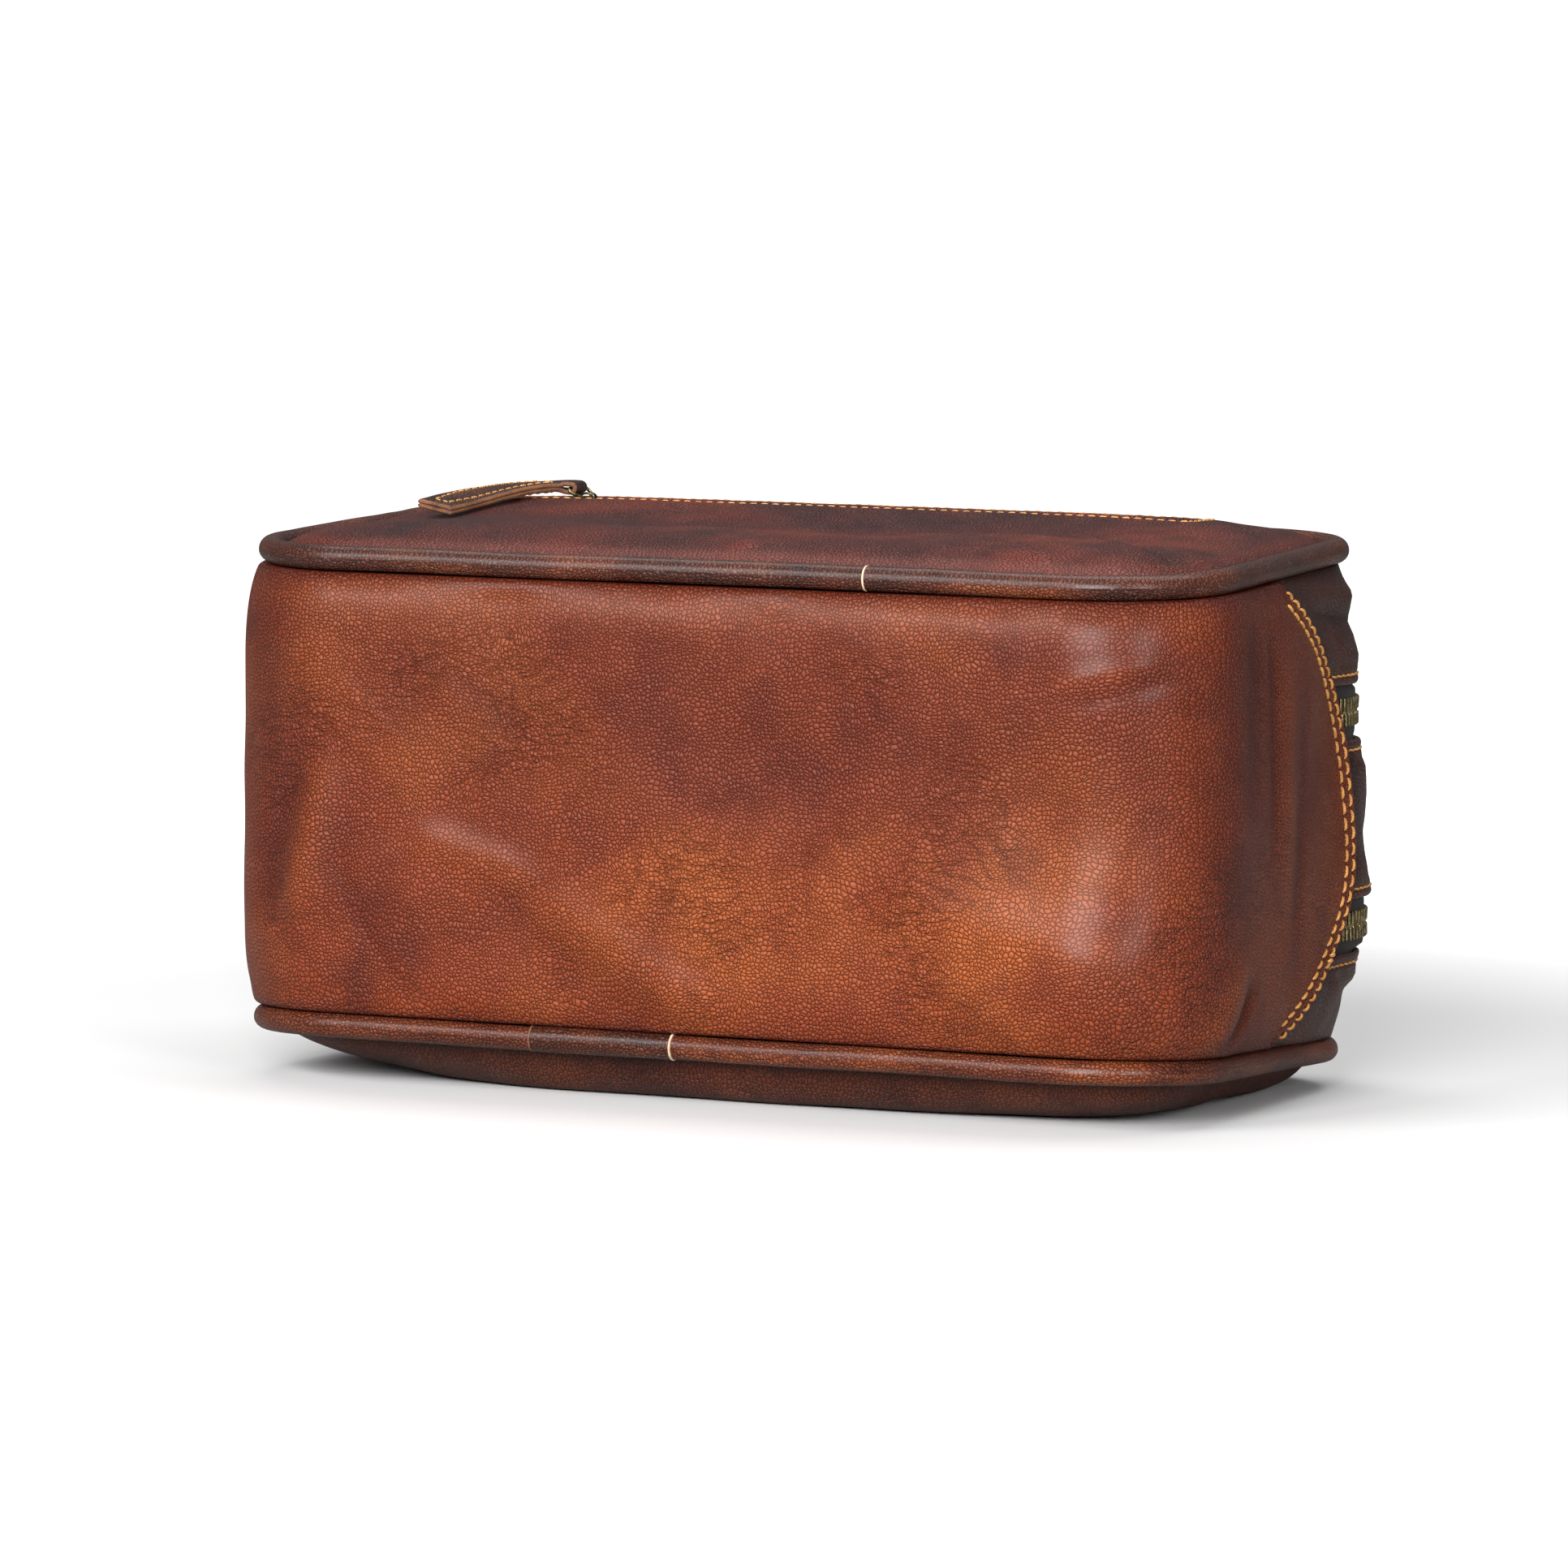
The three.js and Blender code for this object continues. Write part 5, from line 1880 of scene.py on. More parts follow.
@dataclass
class Piping(SubAssembly):
    """The piping of one panel's seam: its rolled leather covers, their raw ends, and the cord."""

    name: str
    side: int
    joint_from: float
    joint_to: float
    leather: LeatherFinish = BROWN_PIPING
    cord_radius: float = 1.6

    def path(self, start: float, stop: float) -> Array:
        """Return the piping's middle line between two distances along the outline.

        Args:
            start: where it starts.
            stop: where it stops.

        Returns:
            The line's points.
        """
        distance = stations((start, stop, 1.6))
        x, y, nx, ny = FORM.outline(distance)
        inset = FORM.piping_inset + 0.18 * soft_noise(distance, distance * 0, 21.0, 50 + self.side)
        wave = 0.22 * soft_noise(distance, distance * 0, 33.0, 52 + self.side)
        z = FORM.middle + self.side * FORM.seam_offset(y) + wave
        return np.stack([x - nx * inset, y - ny * inset, z], -1)

    def cover(
        self, name: str, start: float, stop: float, radius: float, finish: LeatherFinish, ends: tuple[int, int]
    ) -> bpy.types.Object:
        """Build one rolled cover.

        Args:
            name: the piece's name.
            start: where it starts along the outline.
            stop: where it stops.
            radius: its radius.
            finish: the leather's finish.
            ends: for its first and its last end, 1 where the raw edge is pale and 2 where it is tan.

        Returns:
            The piece.
        """
        path = self.path(start, stop)
        along, rise, side = frames_along(path, np.array([0.0, 0.0, 1.0]))
        turn = np.linspace(0, 2 * math.pi, 25)
        distance, turned = np.meshgrid(lengths_along(path) + start, turn, indexing="ij")
        girth = radius * turned
        grown = radius * (1 + 0.025 * soft_noise(distance, turned * 4, 7.0, 54))
        grown[:, -1] = grown[:, 0]
        outer = path[:, None] + grown[..., None] * rings(turn, side, rise)
        lay = with_zero(np.stack([distance, girth + 40 * self.side], -1)) * MM
        shade = np.clip(0.25 + 0.25 * soft_noise(distance, girth, 30.0, 60), 0, 1)
        stock = Stock()
        stock.add(outer, grid_faces(len(path), len(turn)), lay=lay, shade=shade)
        self.raw_end(stock, outer[0], path[0], -along[0], ends[0])
        self.raw_end(stock, outer[-1], path[-1], along[-1], ends[1])
        return stock.build(name, (finish, PALE_EDGE, TAN_EDGE))

    def raw_end(self, stock: Stock, ring: Array, centre: Array, outward: Array, finish: int) -> None:
        """Add the raw end of a cover: a thin pale rim that stands slightly proud, closed inside.

        Args:
            stock: the mesh it goes into.
            ring: the cover's last ring of points.
            centre: its middle.
            outward: the direction out of the end.
            finish: which of the piece's finishes it has.
        """
        count = len(ring) - 1
        spokes = ring[:-1] - centre
        levels = ((1.0, 0.0), (1.035, 0.12), (1.03, 0.42), (0.9, 0.55), (0.72, 0.4), (0.0, 0.1))
        points = np.stack([centre + spokes * share + outward * lift for share, lift in levels])
        faces = grid_faces(len(levels), count, False, True)
        if np.dot(np.cross(ring[1] - ring[0], spokes[0]), outward) > 0:
            faces = faces[:, ::-1]
        stock.add(points, faces, finish, lay=np.zeros_like(points), shade=np.zeros(points.shape[:2]))

    def build_cord(self) -> None:
        """Build the cord inside the covers."""
        stock = Stock()
        path = self.path(self.joint_from + 1.0, self.joint_from + 2 * FORM.half_round - 1.0)
        add_tube(stock, path, self.cord_radius, np.array([0.0, 0.0, 1.0]), 12, False)
        piece = stock.build(f"{self.name}_piping_cotton_cord", (CORD_WEAVE,))
        self.put(piece, "shell", "piping_cord", (f"{self.name}_piping_cord",))

    def build(self) -> None:
        """Build the covers and the cord."""
        start, stop = self.joint_to + FORM.gap, self.joint_from + 2 * FORM.half_round - FORM.gap
        radius, lapped = FORM.piping_radius, self.joint_to > self.joint_from
        ends = (2, 2) if lapped else (1, 2)
        cover = self.cover(f"{self.name}_piping_leather", start, stop, radius, self.leather, ends)
        self.put(cover, "shell", "dark_leather", (f"{self.name}_piping_cover",))
        if lapped:
            name, radius = f"{self.name}_piping_overlap", radius + 0.25
            lap = self.cover(name, self.joint_from, self.joint_to, radius, BROWN_PIPING, (2, 1))
            self.put(lap, "shell", "dark_leather", (f"{self.name}_piping_lap",))
        self.build_cord()


# ---------------------------------------------------------------- zips


@dataclass(frozen=True)
class Tooth:
    """One metal tooth: its sections from its head, past the middle of the zip, to its foot on the tape."""

    reach: tuple[float, ...] = (-0.75, -0.6, 0.25, 0.55, 3.15, 3.5)
    half_width: tuple[float, ...] = (0.2, 0.36, 0.38, 0.56, 0.6, 0.4)
    half_height: tuple[float, ...] = (0.5, 0.78, 0.85, 1.2, 1.3, 1.05)

    def sections(self) -> Array:
        """Return the tooth's eight-sided sections: along the zip, across it, and out of it.

        Returns:
            The sections, by section and corner.
        """
        rows = []
        for reach, width, height in zip(self.reach, self.half_width, self.half_height):
            chamfer = 0.32 * min(width, height)
            w, h = width - chamfer, height - chamfer
            loop = [(width, -h), (width, h), (w, height), (-w, height), (-width, h), (-width, -h), (-w, -height)]
            loop.append((w, -height))
            rows.append([(a, reach, o) for a, o in loop])
        return np.array(rows)


@dataclass
class ZipChain(SubAssembly):
    """A zip's woven tapes, its two rows of teeth and its end stop."""

    name: str
    across: tuple[float, float, float] = (0.0, 0.0, 1.0)
    pitch: float = 2.1
    tape: float = 0.7
    tape_steps: tuple[float, ...] = (0.7, 2.2, 3.8, 5.2, 6.2, 6.9, 8.0, 10.0, 14.0)
    bead: float = 0.55
    stop_half: tuple[float, float, float] = (1.1, 3.5, 1.35)
    tooth: Tooth = Tooth()

    def path(self) -> Array:
        """Return the points of the zip's middle line. Each kind of zip has its own."""
        raise NotImplementedError

    def tape_row(self, across: float, layer: float) -> tuple[Array, Array]:
        """Return one row of a tape's points, and their places on the flat tape. Each kind of zip has its own."""
        raise NotImplementedError

    def line(self) -> tuple[Array, Array, Array, Array]:
        """Return the zip's middle line.

        Returns:
            Its points, and at each of them the directions along the zip, across it and out of it.
        """
        path = self.path()
        along = unit(np.gradient(path, axis=0))
        across = np.tile(self.across, (len(path), 1))
        return path, along, across, unit(np.cross(along, across))

    def tape_points(self, side: int, layer: float) -> tuple[Array, Array]:
        """Return one face of a tape as a grid, and each point's place on the flat tape."""
        rows, places = zip(*(self.tape_row(side * step, layer) for step in self.tape_steps))
        return np.stack(rows), np.stack(places)

    def build(self) -> None:
        """Build the tapes, the teeth and the stop."""
        for side, word in ((1, "upper"), (-1, "lower")):
            self.build_tape(side, word)
            self.build_teeth(side, word)
        self.build_stop()

    def build_tape(self, side: int, word: str) -> None:
        """Build one woven tape, with the corded bead that its teeth are clamped to.

        Args:
            side: +1 for the upper half and -1 for the lower one.
            word: the half's word in the piece's name.
        """
        top, lay = self.tape_points(side, 0.0)
        bottom, _ = self.tape_points(side, 1.0)
        stock = Stock()
        rows, columns = top.shape[:2]
        faces = grid_faces(rows, columns)
        facing = np.cross(top[1, 0] - top[0, 0], top[0, 1] - top[0, 0]) @ (top[0, 0] - bottom[0, 0])
        if facing < 0:
            faces = faces[:, ::-1]
        flat = with_zero(lay) * MM
        stock.add(top, faces, lay=flat)
        stock.add(bottom, faces[:, ::-1], lay=flat)
        line, _, across, out = self.line()
        add_tube(stock, line + side * 0.75 * across, self.bead, out, 8, False)
        name = f"{self.name}_zip_woven_tape_{word}"
        self.put(stock.build(name, (TAPE_WEAVE,)), "shell", "zip_tape", (f"{self.name}_zip_tape_{word}",))

    def build_teeth(self, side: int, word: str) -> None:
        """Build one row of separate teeth.

        Args:
            side: +1 for the upper half and -1 for the lower one.
            word: the half's word in the piece's name.
        """
        line, along, across, out = self.line()
        total = float(lengths_along(line)[-1])
        shift = 0.25 if side > 0 else 0.75
        where = np.arange(shift * self.pitch, total - 0.3, self.pitch)
        middle, ahead, over, up = (at_lengths(line, values, where) for values in (line, along, across, out))
        local = self.tooth.sections() * [1, side, 1]
        points = (
            middle[:, None, None]
            + local[None, ..., :1] * unit(ahead)[:, None, None]
            + local[None, ..., 1:2] * unit(over)[:, None, None]
            + local[None, ..., 2:] * unit(up)[:, None, None]
        )
        stock = Stock()
        turned = np.dot(np.cross(unit(ahead)[0], unit(over)[0]), unit(up)[0]) * side
        for body in points:
            add_loft(stock, body if turned > 0 else body[:, ::-1])
        piece = stock.build(f"{self.name}_zip_tooth_row_{word}", (BRASS,), smooth=False)
        self.put(piece, "shell", "antique_brass", (f"{self.name}_zip_teeth_{word}",))

    def build_stop(self) -> None:
        """Build the metal stop that is clamped over the end of the chain."""
        low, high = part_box(f"{self.name}_zip_stop")
        line, along, across, out = self.line()
        nearest = int(np.argmin(((line - (low + high) / 2 / MM) ** 2).sum(1)))
        a, c, o = along[nearest], across[nearest], out[nearest]
        turn = np.linspace(0, 2 * math.pi, 17)[:-1]
        wide, tall = (np.sign(wave) * np.abs(wave) ** 0.55 for wave in (np.cos(turn), np.sin(turn)))
        half_length, half_width, half_height = self.stop_half
        stock = Stock()
        sections = []
        for share, grow in ((-1.0, 0.72), (-0.7, 0.95), (0.0, 1.0), (0.7, 0.95), (1.0, 0.72)):
            loop = half_width * grow * wide[:, None] * c + half_height * grow * tall[:, None] * o
            sections.append(line[nearest] + half_length * share * a + loop)
        loops = np.stack(sections)
        add_loft(stock, loops[:, ::-1] if np.dot(np.cross(c, o), a) > 0 else loops)
        piece = stock.build(f"{self.name}_zip_end_stop", (BRASS,))
        self.put(piece, "shell", "antique_brass", (f"{self.name}_zip_stop",))


@dataclass
class TopZip(ZipChain):
    """A zip of the zipped top, which runs round both top corners and under the tongues."""

    centre: float = 22.0
    lap: float = 7.0
    seat: float = 0.3
    tongue_dip: float = 1.8
    depth: float = 1.9

    def chain_depth(self, distance: Array) -> Array:
        """Return how far in from the swollen face the middle of the teeth lies.

        Args:
            distance: how far along the outline.

        Returns:
            The depths.
        """
        from_top = np.abs(np.mod(distance, 2 * FORM.half_round) - FORM.half_round)
        start = FORM.long_half + 0.4 * FORM.quarter
        return self.depth + self.seat + self.tongue_dip * smoothstep(from_top, start, start + 0.5 * FORM.quarter)

    def distances(self) -> Array:
        """Return the distances along the outline that the zip runs over."""
        start = float(FORM.tongue_end(np.array(self.centre))) - self.lap
        return stations((start, 2 * FORM.half_round - start, 1.4))

    def on_zip(self, distance: Array, across: float, height: float) -> Array:
        """Return points across the zip and out of it.

        Args:
            distance: how far along the outline.
            across: how far up from the middle of the zip.
            height: how far out from the middle of the teeth.

        Returns:
            The points.
        """
        points = FORM.on_wall(distance, np.full_like(distance, self.centre), self.chain_depth(distance) - height)
        points[..., 2] += across
        return points

    def path(self) -> Array:
        """Return the points of the zip's middle line."""
        return self.on_zip(self.distances(), 0.0, 0.0)

    def tape_row(self, across: float, layer: float) -> tuple[Array, Array]:
        """Return one row of a tape: level beside the teeth, and under the leather further out.

        Args:
            across: how far up from the middle of the zip.
            layer: 0 for the tape's outer face and 1 for its inner one.

        Returns:
            The row's points and their places on the flat tape.
        """
        distance = self.distances()
        level = self.on_zip(distance, across, self.tape * (0.5 - layer))
        up = np.full_like(distance, self.centre + across)
        under = FORM.on_wall(distance, up, self.depth + FORM.leather + 0.35 + layer * self.tape)
        share = float(smoothstep(np.array(abs(across)), 4.8, 7.0))
        return mix(level, under, share), np.stack([distance, np.full_like(distance, across)], -1)


@dataclass
class PocketZip(ZipChain):
    """The zip of the front panel's pocket."""

    panel: FrontPanel = field(default_factory=FrontPanel)

    def path(self) -> Array:
        """Return the points of the zip's middle line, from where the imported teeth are.

        Returns:
            The points.
        """
        low, high = (np.array(corner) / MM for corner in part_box("pocket_zip_teeth_upper"))
        x = stations((low[0], high[0], 1.4))
        return np.stack([x, np.full_like(x, self.panel.pocket_y), np.full_like(x, 0.5 * (low[2] + high[2]))], -1)

    def tape_row(self, across: float, layer: float) -> tuple[Array, Array]:
        """Return one row of a tape: level beside the teeth, and under the leather further out.

        Args:
            across: how far up from the middle of the zip.
            layer: 0 for the tape's outer face and 1 for its inner one.

        Returns:
            The row's points and their places on the flat tape.
        """
        path = self.path()
        x = np.concatenate([[path[0, 0] - 0.8], path[1:-1, 0], [self.panel.window_to - 0.3]])
        chain = np.interp(x, path[:, 0], path[:, 2])
        y = np.full_like(x, self.panel.pocket_y + across)
        covered = math.copysign(max(abs(across), FORM.window_half + 2.5), across)
        face = self.panel.face(x, np.full_like(x, self.panel.pocket_y + covered))
        under = face - FORM.leather - 0.8 - self.tape * layer
        share = float(smoothstep(np.array(abs(across)), 4.8, 7.2))
        z = mix(chain + self.tape * (0.5 - layer), under, share)
        return np.stack([x, y, z], -1), np.stack([x, y], -1)


# ---------------------------------------------------------------- sliders, rings and straps


@dataclass(frozen=True)
class ZipFrame:
    """Where a slider sits: the middle of the teeth under it, and the directions along, across and out."""

    origin: Array
    along: Array
    across: Array
    out: Array

    def place(self, local: Array) -> Array:
        """Return points of the slider's own frame in the bag's frame."""
        return self.origin + self.turn(local)

    def turn(self, local: Array) -> Array:
        """Return directions of the slider's own frame in the bag's frame."""
        return local @ np.stack([self.along, self.across, self.out])


@dataclass
class Pull(SubAssembly):
    """One zip's slider, its wire ring and its stitched leather strap."""

    name: str
    lying_on_panel: bool
    plate_gap: float = 1.6
    plate: float = 0.8
    plate_outline: tuple[tuple[float, float], ...] = (
        (-5.75, 2.6), (-4.9, 4.3), (-1.6, 4.1), (2.2, 4.9), (5.2, 4.9), (5.75, 3.6)
    )
    rail_radius: float = 0.55
    bridge_at: float = 3.8
    bridge_half: float = 2.15
    bridge_top: float = 4.25
    pivot: float = 3.1
    ring_length: float = 4.0
    ring_tilt: float = math.radians(142)
    wire: float = 0.45
    strap_half_width: float = 5.0
    lean: float = 0.16
    layer: float = 1.2
    straight: tuple[tuple[float, float, float], ...] = (
        (0, 0, 0), (-9, 0, 0.1), (-21, 0, -1.0), (-34, 0, -2.0), (-46, 0, -2.4)
    )
    sideways: tuple[tuple[float, float, float], ...] = (
        (0, 0, 0), (-4, -0.6, 0.2), (-8.5, -5, 0.1), (-12.5, -14, -0.5), (-17, -27, -2.2), (-20.5, -40, -4.0)
    )

    def frame(self) -> ZipFrame:
        """Return the slider's frame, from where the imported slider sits.

        Returns:
            The frame.
        """
        low, high = (np.array(corner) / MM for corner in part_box(f"{self.name}_zip_slider"))
        middle = 0.5 * (low + high)
        x, y, z = np.eye(3)
        half = self.plate_gap + self.plate
        if self.lying_on_panel:
            return ZipFrame(np.array([middle[0], middle[1], low[2] + half]), x, y, z)
        return ZipFrame(np.array([middle[0], low[1] + half, middle[2]]), -x, z, y)

    @property
    def ring_end(self) -> Array:
        """The middle of the ring's long bar, in the slider's frame."""
        ahead, rise = self.ring_length * math.cos(self.ring_tilt), self.ring_length * math.sin(self.ring_tilt)
        return np.array([self.bridge_at + ahead, 0.0, self.pivot + rise])

    def build(self) -> None:
        """Build the slider, the ring and the strap."""
        frame = self.frame()
        slider = self.slider(frame).build(f"{self.name}_zip_slider_body", (GUNMETAL,))
        self.put(slider, f"{self.name}_slider", "dark_metal", (f"{self.name}_zip_slider",))
        ring = self.ring(frame).build(f"{self.name}_pull_wire_ring", (BRASS,))
        self.put(ring, f"{self.name}_ring", "dark_metal", (f"{self.name}_pull_ring",))
        leather, stitches = self.strap(frame)
        piece = leather.build(f"{self.name}_pull_leather_strap", (STRAP_HIDE, TAN_EDGE))
        self.put(piece, f"{self.name}_strap", "tan_leather", (f"{self.name}_pull_strap",))
        self.put(stitches.build(f"{self.name}_pull_strap_stitches", (THREAD,)), f"{self.name}_strap")

    def slider(self, frame: ZipFrame) -> Stock:
        """Return the slider: two waisted plates, their side rails, a stub inside each and the arched bridge.

        Args:
            frame: where the slider sits.

        Returns:
            The slider.
        """
        stock = Stock()
        upper = np.array(self.plate_outline)
        outline = rounded_path(np.vstack([upper, upper[::-1] * [1, -1]]), 2, True)
        for direction in (1, -1):
            inner, outer = direction * self.plate_gap, direction * (self.plate_gap + self.plate)
            levels = ((inner, 0.96), (mix(inner, outer, 0.25), 1.0), (mix(inner, outer, 0.7), 1.0), (outer, 0.93))
            loops = np.stack([np.column_stack([outline * grow, np.full(len(outline), z)]) for z, grow in levels])
            add_loft(stock, frame.place(loops if direction < 0 else loops[:, ::-1]))
        for side in (1, -1):
            for direction in (1, -1):
                rail = [(a, side * (4.42 + 0.04 * a), direction * 1.05) for a in np.linspace(-4.9, 5.2, 12)]
                add_tube(stock, frame.place(np.array(rail)), self.rail_radius, frame.out, 10, False)
        for direction in (1, -1):
            stub = np.array([(self.bridge_at, 0.0, direction * z) for z in (1.35, 1.5, 1.7)])
            add_tube(stock, frame.place(stub), 0.45, frame.along, 8, False)
        first, last = self.bridge_at - self.bridge_half, self.bridge_at + self.bridge_half
        foot, top = 2.1, self.bridge_top
        arch = rounded_path(np.array([(first, 0, foot), (first, 0, top), (last, 0, top), (last, 0, foot)]), 3, False)
        lift = np.cross(unit(np.gradient(arch, axis=0)), [0.0, 1.0, 0.0])
        half = [(0.95, 0.12), (0.8, 0.3), (-0.8, 0.3), (-0.95, 0.12)]
        section = half + [(-across, -rise) for across, rise in half]
        loops = [arch + np.array([0.0, across, 0.0]) + lift * rise for across, rise in section]
        add_loft(stock, frame.place(np.stack(loops, axis=1))[:, ::-1])
        return stock

    def ring(self, frame: ZipFrame) -> Stock:
        """Return the wire ring: narrow under the bridge and wide where it holds the strap.

        Args:
            frame: where the slider sits.

        Returns:
            The ring.
        """
        near = np.array([self.bridge_at, 0.0, self.pivot])
        end = self.ring_end
        shoulder = mix(near, end, 0.4)
        wide = self.strap_half_width + 0.7
        bends = [at + [0, half, 0] for at, half in ((near, 1.9), (shoulder, wide), (end, wide))]
        bends += [bend * [1, -1, 1] for bend in bends[::-1]]
        eased = []
        for k, bend in enumerate(bends):
            for other in (bends[k - 1], bends[(k + 1) % len(bends)]):
                gap = other - bend
                eased.append(bend + gap * min(0.45, 0.9 / np.linalg.norm(gap)))
        path = rounded_path(np.array(eased), 3, True)
        stock = Stock()
        across = frame.turn(unit(np.cross(end - near, [0.0, 1.0, 0.0])))
        add_tube(stock, frame.place(path), self.wire, across, 10, True)
        return stock

    def strap_line(self) -> tuple[Array, Array, Array]:
        """Return the strap's middle line from the ring's bar, with the directions across it and up from it.

        Returns:
            The line's points and the two directions.
        """
        route = np.array(self.sideways if self.lying_on_panel else self.straight, float)
        path = rounded_path(route, 4, False) + self.ring_end
        where = np.linspace(0, lengths_along(path)[-1], 60)
        path = at_lengths(path, path, where)
        along = unit(np.gradient(path, axis=0))
        across = unit(np.stack([along[:, 1], -along[:, 0], np.zeros(len(path))], -1))
        lean = self.lean * smoothstep(where, 10, 40) * self.lying_on_panel
        across = unit(across + lean[:, None] * np.cross(across, along))
        return path, across, np.cross(across, along)

    def strap(self, frame: ZipFrame) -> tuple[Stock, Stock]:
        """Return the strap's folded leather and its stitches.

        Args:
            frame: where the slider sits.

        Returns:
            The leather and the stitches.
        """
        path, across, up = self.strap_line()
        where = lengths_along(path)
        apart = mix(1.12, 0.5 * self.layer + 0.03, smoothstep(where, 1.0, 7.0))
        over = path + up * apart[:, None]
        below = path - up * apart[:, None]
        back = -unit(np.gradient(path, axis=0))[0]
        turn = np.linspace(0, math.pi, 11)[1:-1]
        bend = path[0] + apart[0] * (np.cos(turn)[:, None] * up[0] + np.sin(turn)[:, None] * back)
        middle = np.concatenate([over[::-1], bend, below])
        sideways = np.concatenate([across[::-1], np.tile(across[0], (len(turn), 1)), across])
        span = lengths_along(middle)
        facing = unit(np.cross(np.gradient(middle, axis=0), sideways))
        shares = np.array([-1, -0.985, -0.95, -0.88, -0.76, -0.6, -0.3, 0, 0.3, 0.6, 0.76, 0.88, 0.95, 0.985, 1.0])
        crown = 0.5 * self.layer - 0.16 * np.abs(shares) ** 8
        crown = crown - 0.12 * np.exp(-(((np.abs(shares) - 0.66) / 0.07) ** 2))
        outer = middle[:, None] + self.strap_half_width * shares[None, :, None] * sideways[:, None]
        outer = outer + facing[:, None] * crown[None, :, None]
        run, share = np.meshgrid(span, shares, indexing="ij")
        outer = outer + facing[:, None] * (0.07 * soft_noise(run, 5 * share, 4.0, 80))[..., None]
        lay = np.stack([run, 5 * share + 90], -1)
        shade = 0.35 + 0.25 * soft_noise(lay[..., 0], lay[..., 1], 9.0, 81)
        # Lighter along the long edges: a painted highlight on their rounded faces, where the strap is also a little
        # rubbed.
        rub = 0.5 * smoothstep(np.abs(share), 0.82, 1.0)
        leather = Stock()
        add_leather(leather, frame.place(outer), self.layer, lay, rim_finish=1, shade=shade, rub=rub)
        return leather, self.strap_stitches(frame, apart)

    def strap_stitches(self, frame: ZipFrame, apart: Array) -> Stock:
        """Return the stitches along both edges and across both ends of the strap, on both its faces.

        Args:
            frame: where the slider sits.
            apart: how far each half's middle is from the strap's, along the strap.

        Returns:
            The stitches.
        """
        path, across, up = self.strap_line()
        where = lengths_along(path)
        first, last = 7.5, where[-1] - 2.2
        sewn = (where > first) & (where < last)
        inset = 0.66 * self.strap_half_width
        level = apart + 0.5 * self.layer - 0.1
        rails = inset * (1 - 0.35 * smoothstep(where, where[-1] - 14, where[-1] - 2))
        stitches = Stock()
        for face in (1, -1):
            for side in (1, -1):
                rail = path + across * (side * rails)[:, None] + face * up * level[:, None]
                out = frame.turn(face * up[sewn])
                Stitching(pitch=2.5, radius=0.21, gap=0.45).sew(stitches, frame.place(rail[sewn]), out)
            for mark, reach in ((first, inset), (last, 0.66 * inset)):
                k = int(np.argmin(np.abs(where - mark)))
                bar = np.linspace(-reach, reach, 12)[:, None] * across[k] + path[k] + face * up[k] * level[k]
                out = frame.turn(np.tile(face * up[k], (len(bar), 1)))
                Stitching(pitch=2.3, radius=0.21, gap=0.45).sew(stitches, frame.place(bar), out)
        return stitches


# ---------------------------------------------------------------- linings


@dataclass
class Linings(SubAssembly):
    """The fabric inside the bag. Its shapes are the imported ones, and only their finish is new."""

    nodes: tuple[str, ...] = ("front_lining", "back_lining", "compartment_divider", "pocket_lining")

    def build(self, frame: dict[str, Any]) -> None:
        """Dress the linings in woven fabric.

        Args:
            frame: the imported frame.
        """
        for name in self.nodes:
            for slot in frame["nodes"][name].material_slots:
                slot.material = INSIDE_WEAVE.material()
            LOG.info("%s is dressed in %s", name, INSIDE_WEAVE.name)


# ---------------------------------------------------------------- studio


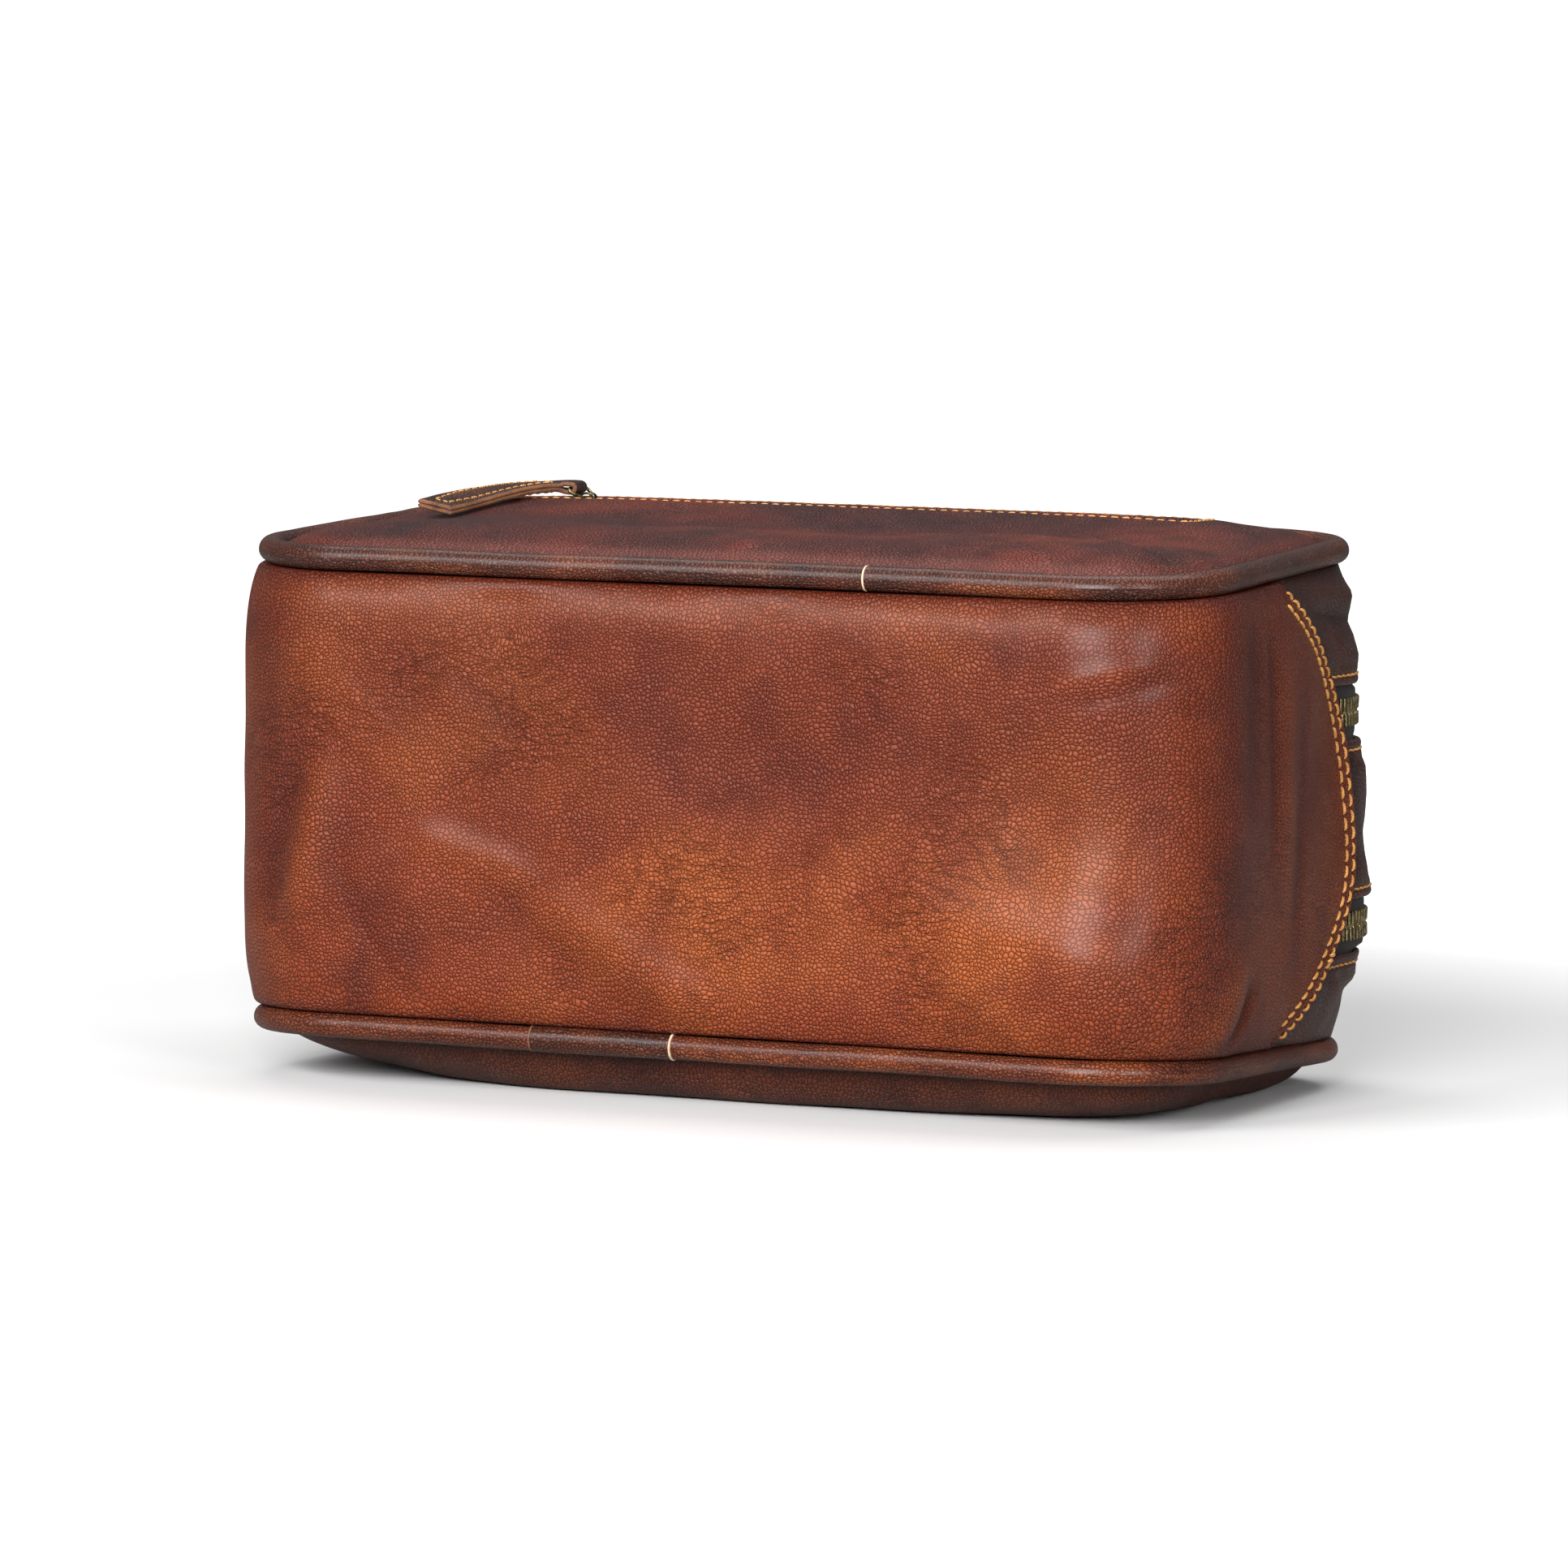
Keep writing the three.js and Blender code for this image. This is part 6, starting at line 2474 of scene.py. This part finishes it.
@dataclass
class Studio:
    """The floor, the lights and the camera."""

    centre: tuple[float, float, float] = (0.0, 0.0, 71.0)
    azimuth: float = 22.153
    elevation: float = 4.746
    distance: float = 2000.0
    lens: float = 187.67
    roll: float = 0.93
    aim_right: float = -3.88
    aim_up: float = 1.515

    def build(self) -> None:
        """Build the floor, the lights and the camera."""
        self.floor()
        self.lights()
        self.camera()

    def floor(self) -> None:
        """Lay the pale floor."""
        half, level = 9000.0, -0.05
        points = np.array([(-half, -half, level), (half, -half, level), (half, half, level), (-half, half, level)])
        stock = Stock()
        stock.add(points, [[0, 1, 2, 3]], lay=points * MM)
        stock.build("studio_floor", (STUDIO_FLOOR,))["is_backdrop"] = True

    def lights(self) -> None:
        """Hang the soft lights and set the surroundings."""
        world = bpy.data.worlds.new("studio_surroundings")
        world.use_nodes = True
        wiring = Wiring(world.node_tree)
        seen = wiring.node("LightPath").outputs["Is Camera Ray"]
        strength = wiring.math("ADD", 0.14, wiring.math("MULTIPLY", seen, 0.9))
        background = wiring.node("Background", {"Color": (1, 1, 1, 1), "Strength": strength})
        wiring.join(background.outputs[0], wiring.node("OutputWorld").inputs[0])
        bpy.context.scene.world = world
        self.softbox("key_softbox", (260, -1480, 560), (700, 540), 31.0)
        self.softbox("front_softbox", (-620, -1250, 850), (800, 600), 17.0)
        self.softbox("side_softbox", (1150, -950, 420), (420, 420), 9.0)
        self.softbox("top_softbox", (0, 350, 1300), (1500, 700), 13.0)

    def softbox(self, name: str, at: tuple[float, float, float], size: tuple[float, float], power: float) -> None:
        """Hang one softbox that faces the bag.

        Args:
            name: its name.
            at: where it hangs, in millimetres.
            size: its width and height, in millimetres.
            power: its power, in watts.
        """
        light = bpy.data.lights.new(name, "AREA")
        light.shape = "RECTANGLE"
        light.size, light.size_y = size[0] * MM, size[1] * MM
        light.energy = power
        lamp = bpy.data.objects.new(name, light)
        bpy.context.scene.collection.objects.link(lamp)
        place, target = Vector(at) * MM, Vector(self.centre) * MM
        lamp.location = place
        lamp.rotation_euler = (target - place).to_track_quat("-Z", "Y").to_euler()

    def camera(self) -> None:
        """Set up the camera, a little above the floor and a little to the right."""
        azimuth, elevation, roll = (math.radians(a) for a in (self.azimuth, self.elevation, self.roll))
        level = math.cos(elevation)
        back = Vector((math.sin(azimuth) * level, -math.cos(azimuth) * level, math.sin(elevation)))
        right = Vector((math.cos(azimuth), math.sin(azimuth), 0))
        up = back.cross(right)
        place = Vector(self.centre) + back * self.distance
        aim = Vector(self.centre) + right * self.aim_right + up * self.aim_up
        back = (place - aim).normalized()
        right = up.cross(back).normalized()
        up = back.cross(right)
        right, up = right * math.cos(roll) + up * math.sin(roll), up * math.cos(roll) - right * math.sin(roll)
        data = bpy.data.cameras.new("studio_camera")
        data.sensor_width = 36.0
        data.lens = self.lens
        data.clip_start, data.clip_end = 0.05, 60.0
        camera = bpy.data.objects.new("studio_camera", data)
        bpy.context.scene.collection.objects.link(camera)
        turn = Matrix((right, up, back)).transposed().to_4x4()
        camera.matrix_world = Matrix.Translation(place * MM) @ turn
        bpy.context.scene.camera = camera
        bpy.context.scene.view_settings.view_transform = "Standard"


def corners() -> list[list[float]]:
    """Return the shown object's lowest and highest corners."""
    return [[float(value) for value in corner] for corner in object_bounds()]


def main() -> None:
    """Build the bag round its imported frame, and report each piece."""
    logging.basicConfig(level=logging.INFO, format="%(message)s")
    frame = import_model()
    BaseAndEnds().build()
    top = ZippedTop()
    top.build()
    panel = FrontPanel()
    panel.build()
    BackPanel().build()
    Piping("front", 1, 43.6, 43.6).build()
    Piping("back", -1, -40.0, -4.0, TAN_PIPING).build()
    for name, centre in top.zip_offsets.items():
        TopZip(name, centre=centre).build()
    PocketZip("pocket", (0.0, 1.0, 0.0), panel=panel).build()
    for name in ("front", "back", "pocket"):
        Pull(name, lying_on_panel=name == "pocket").build()
    Linings().build(frame)
    Studio().build()


if __name__ == "__main__":
    main()
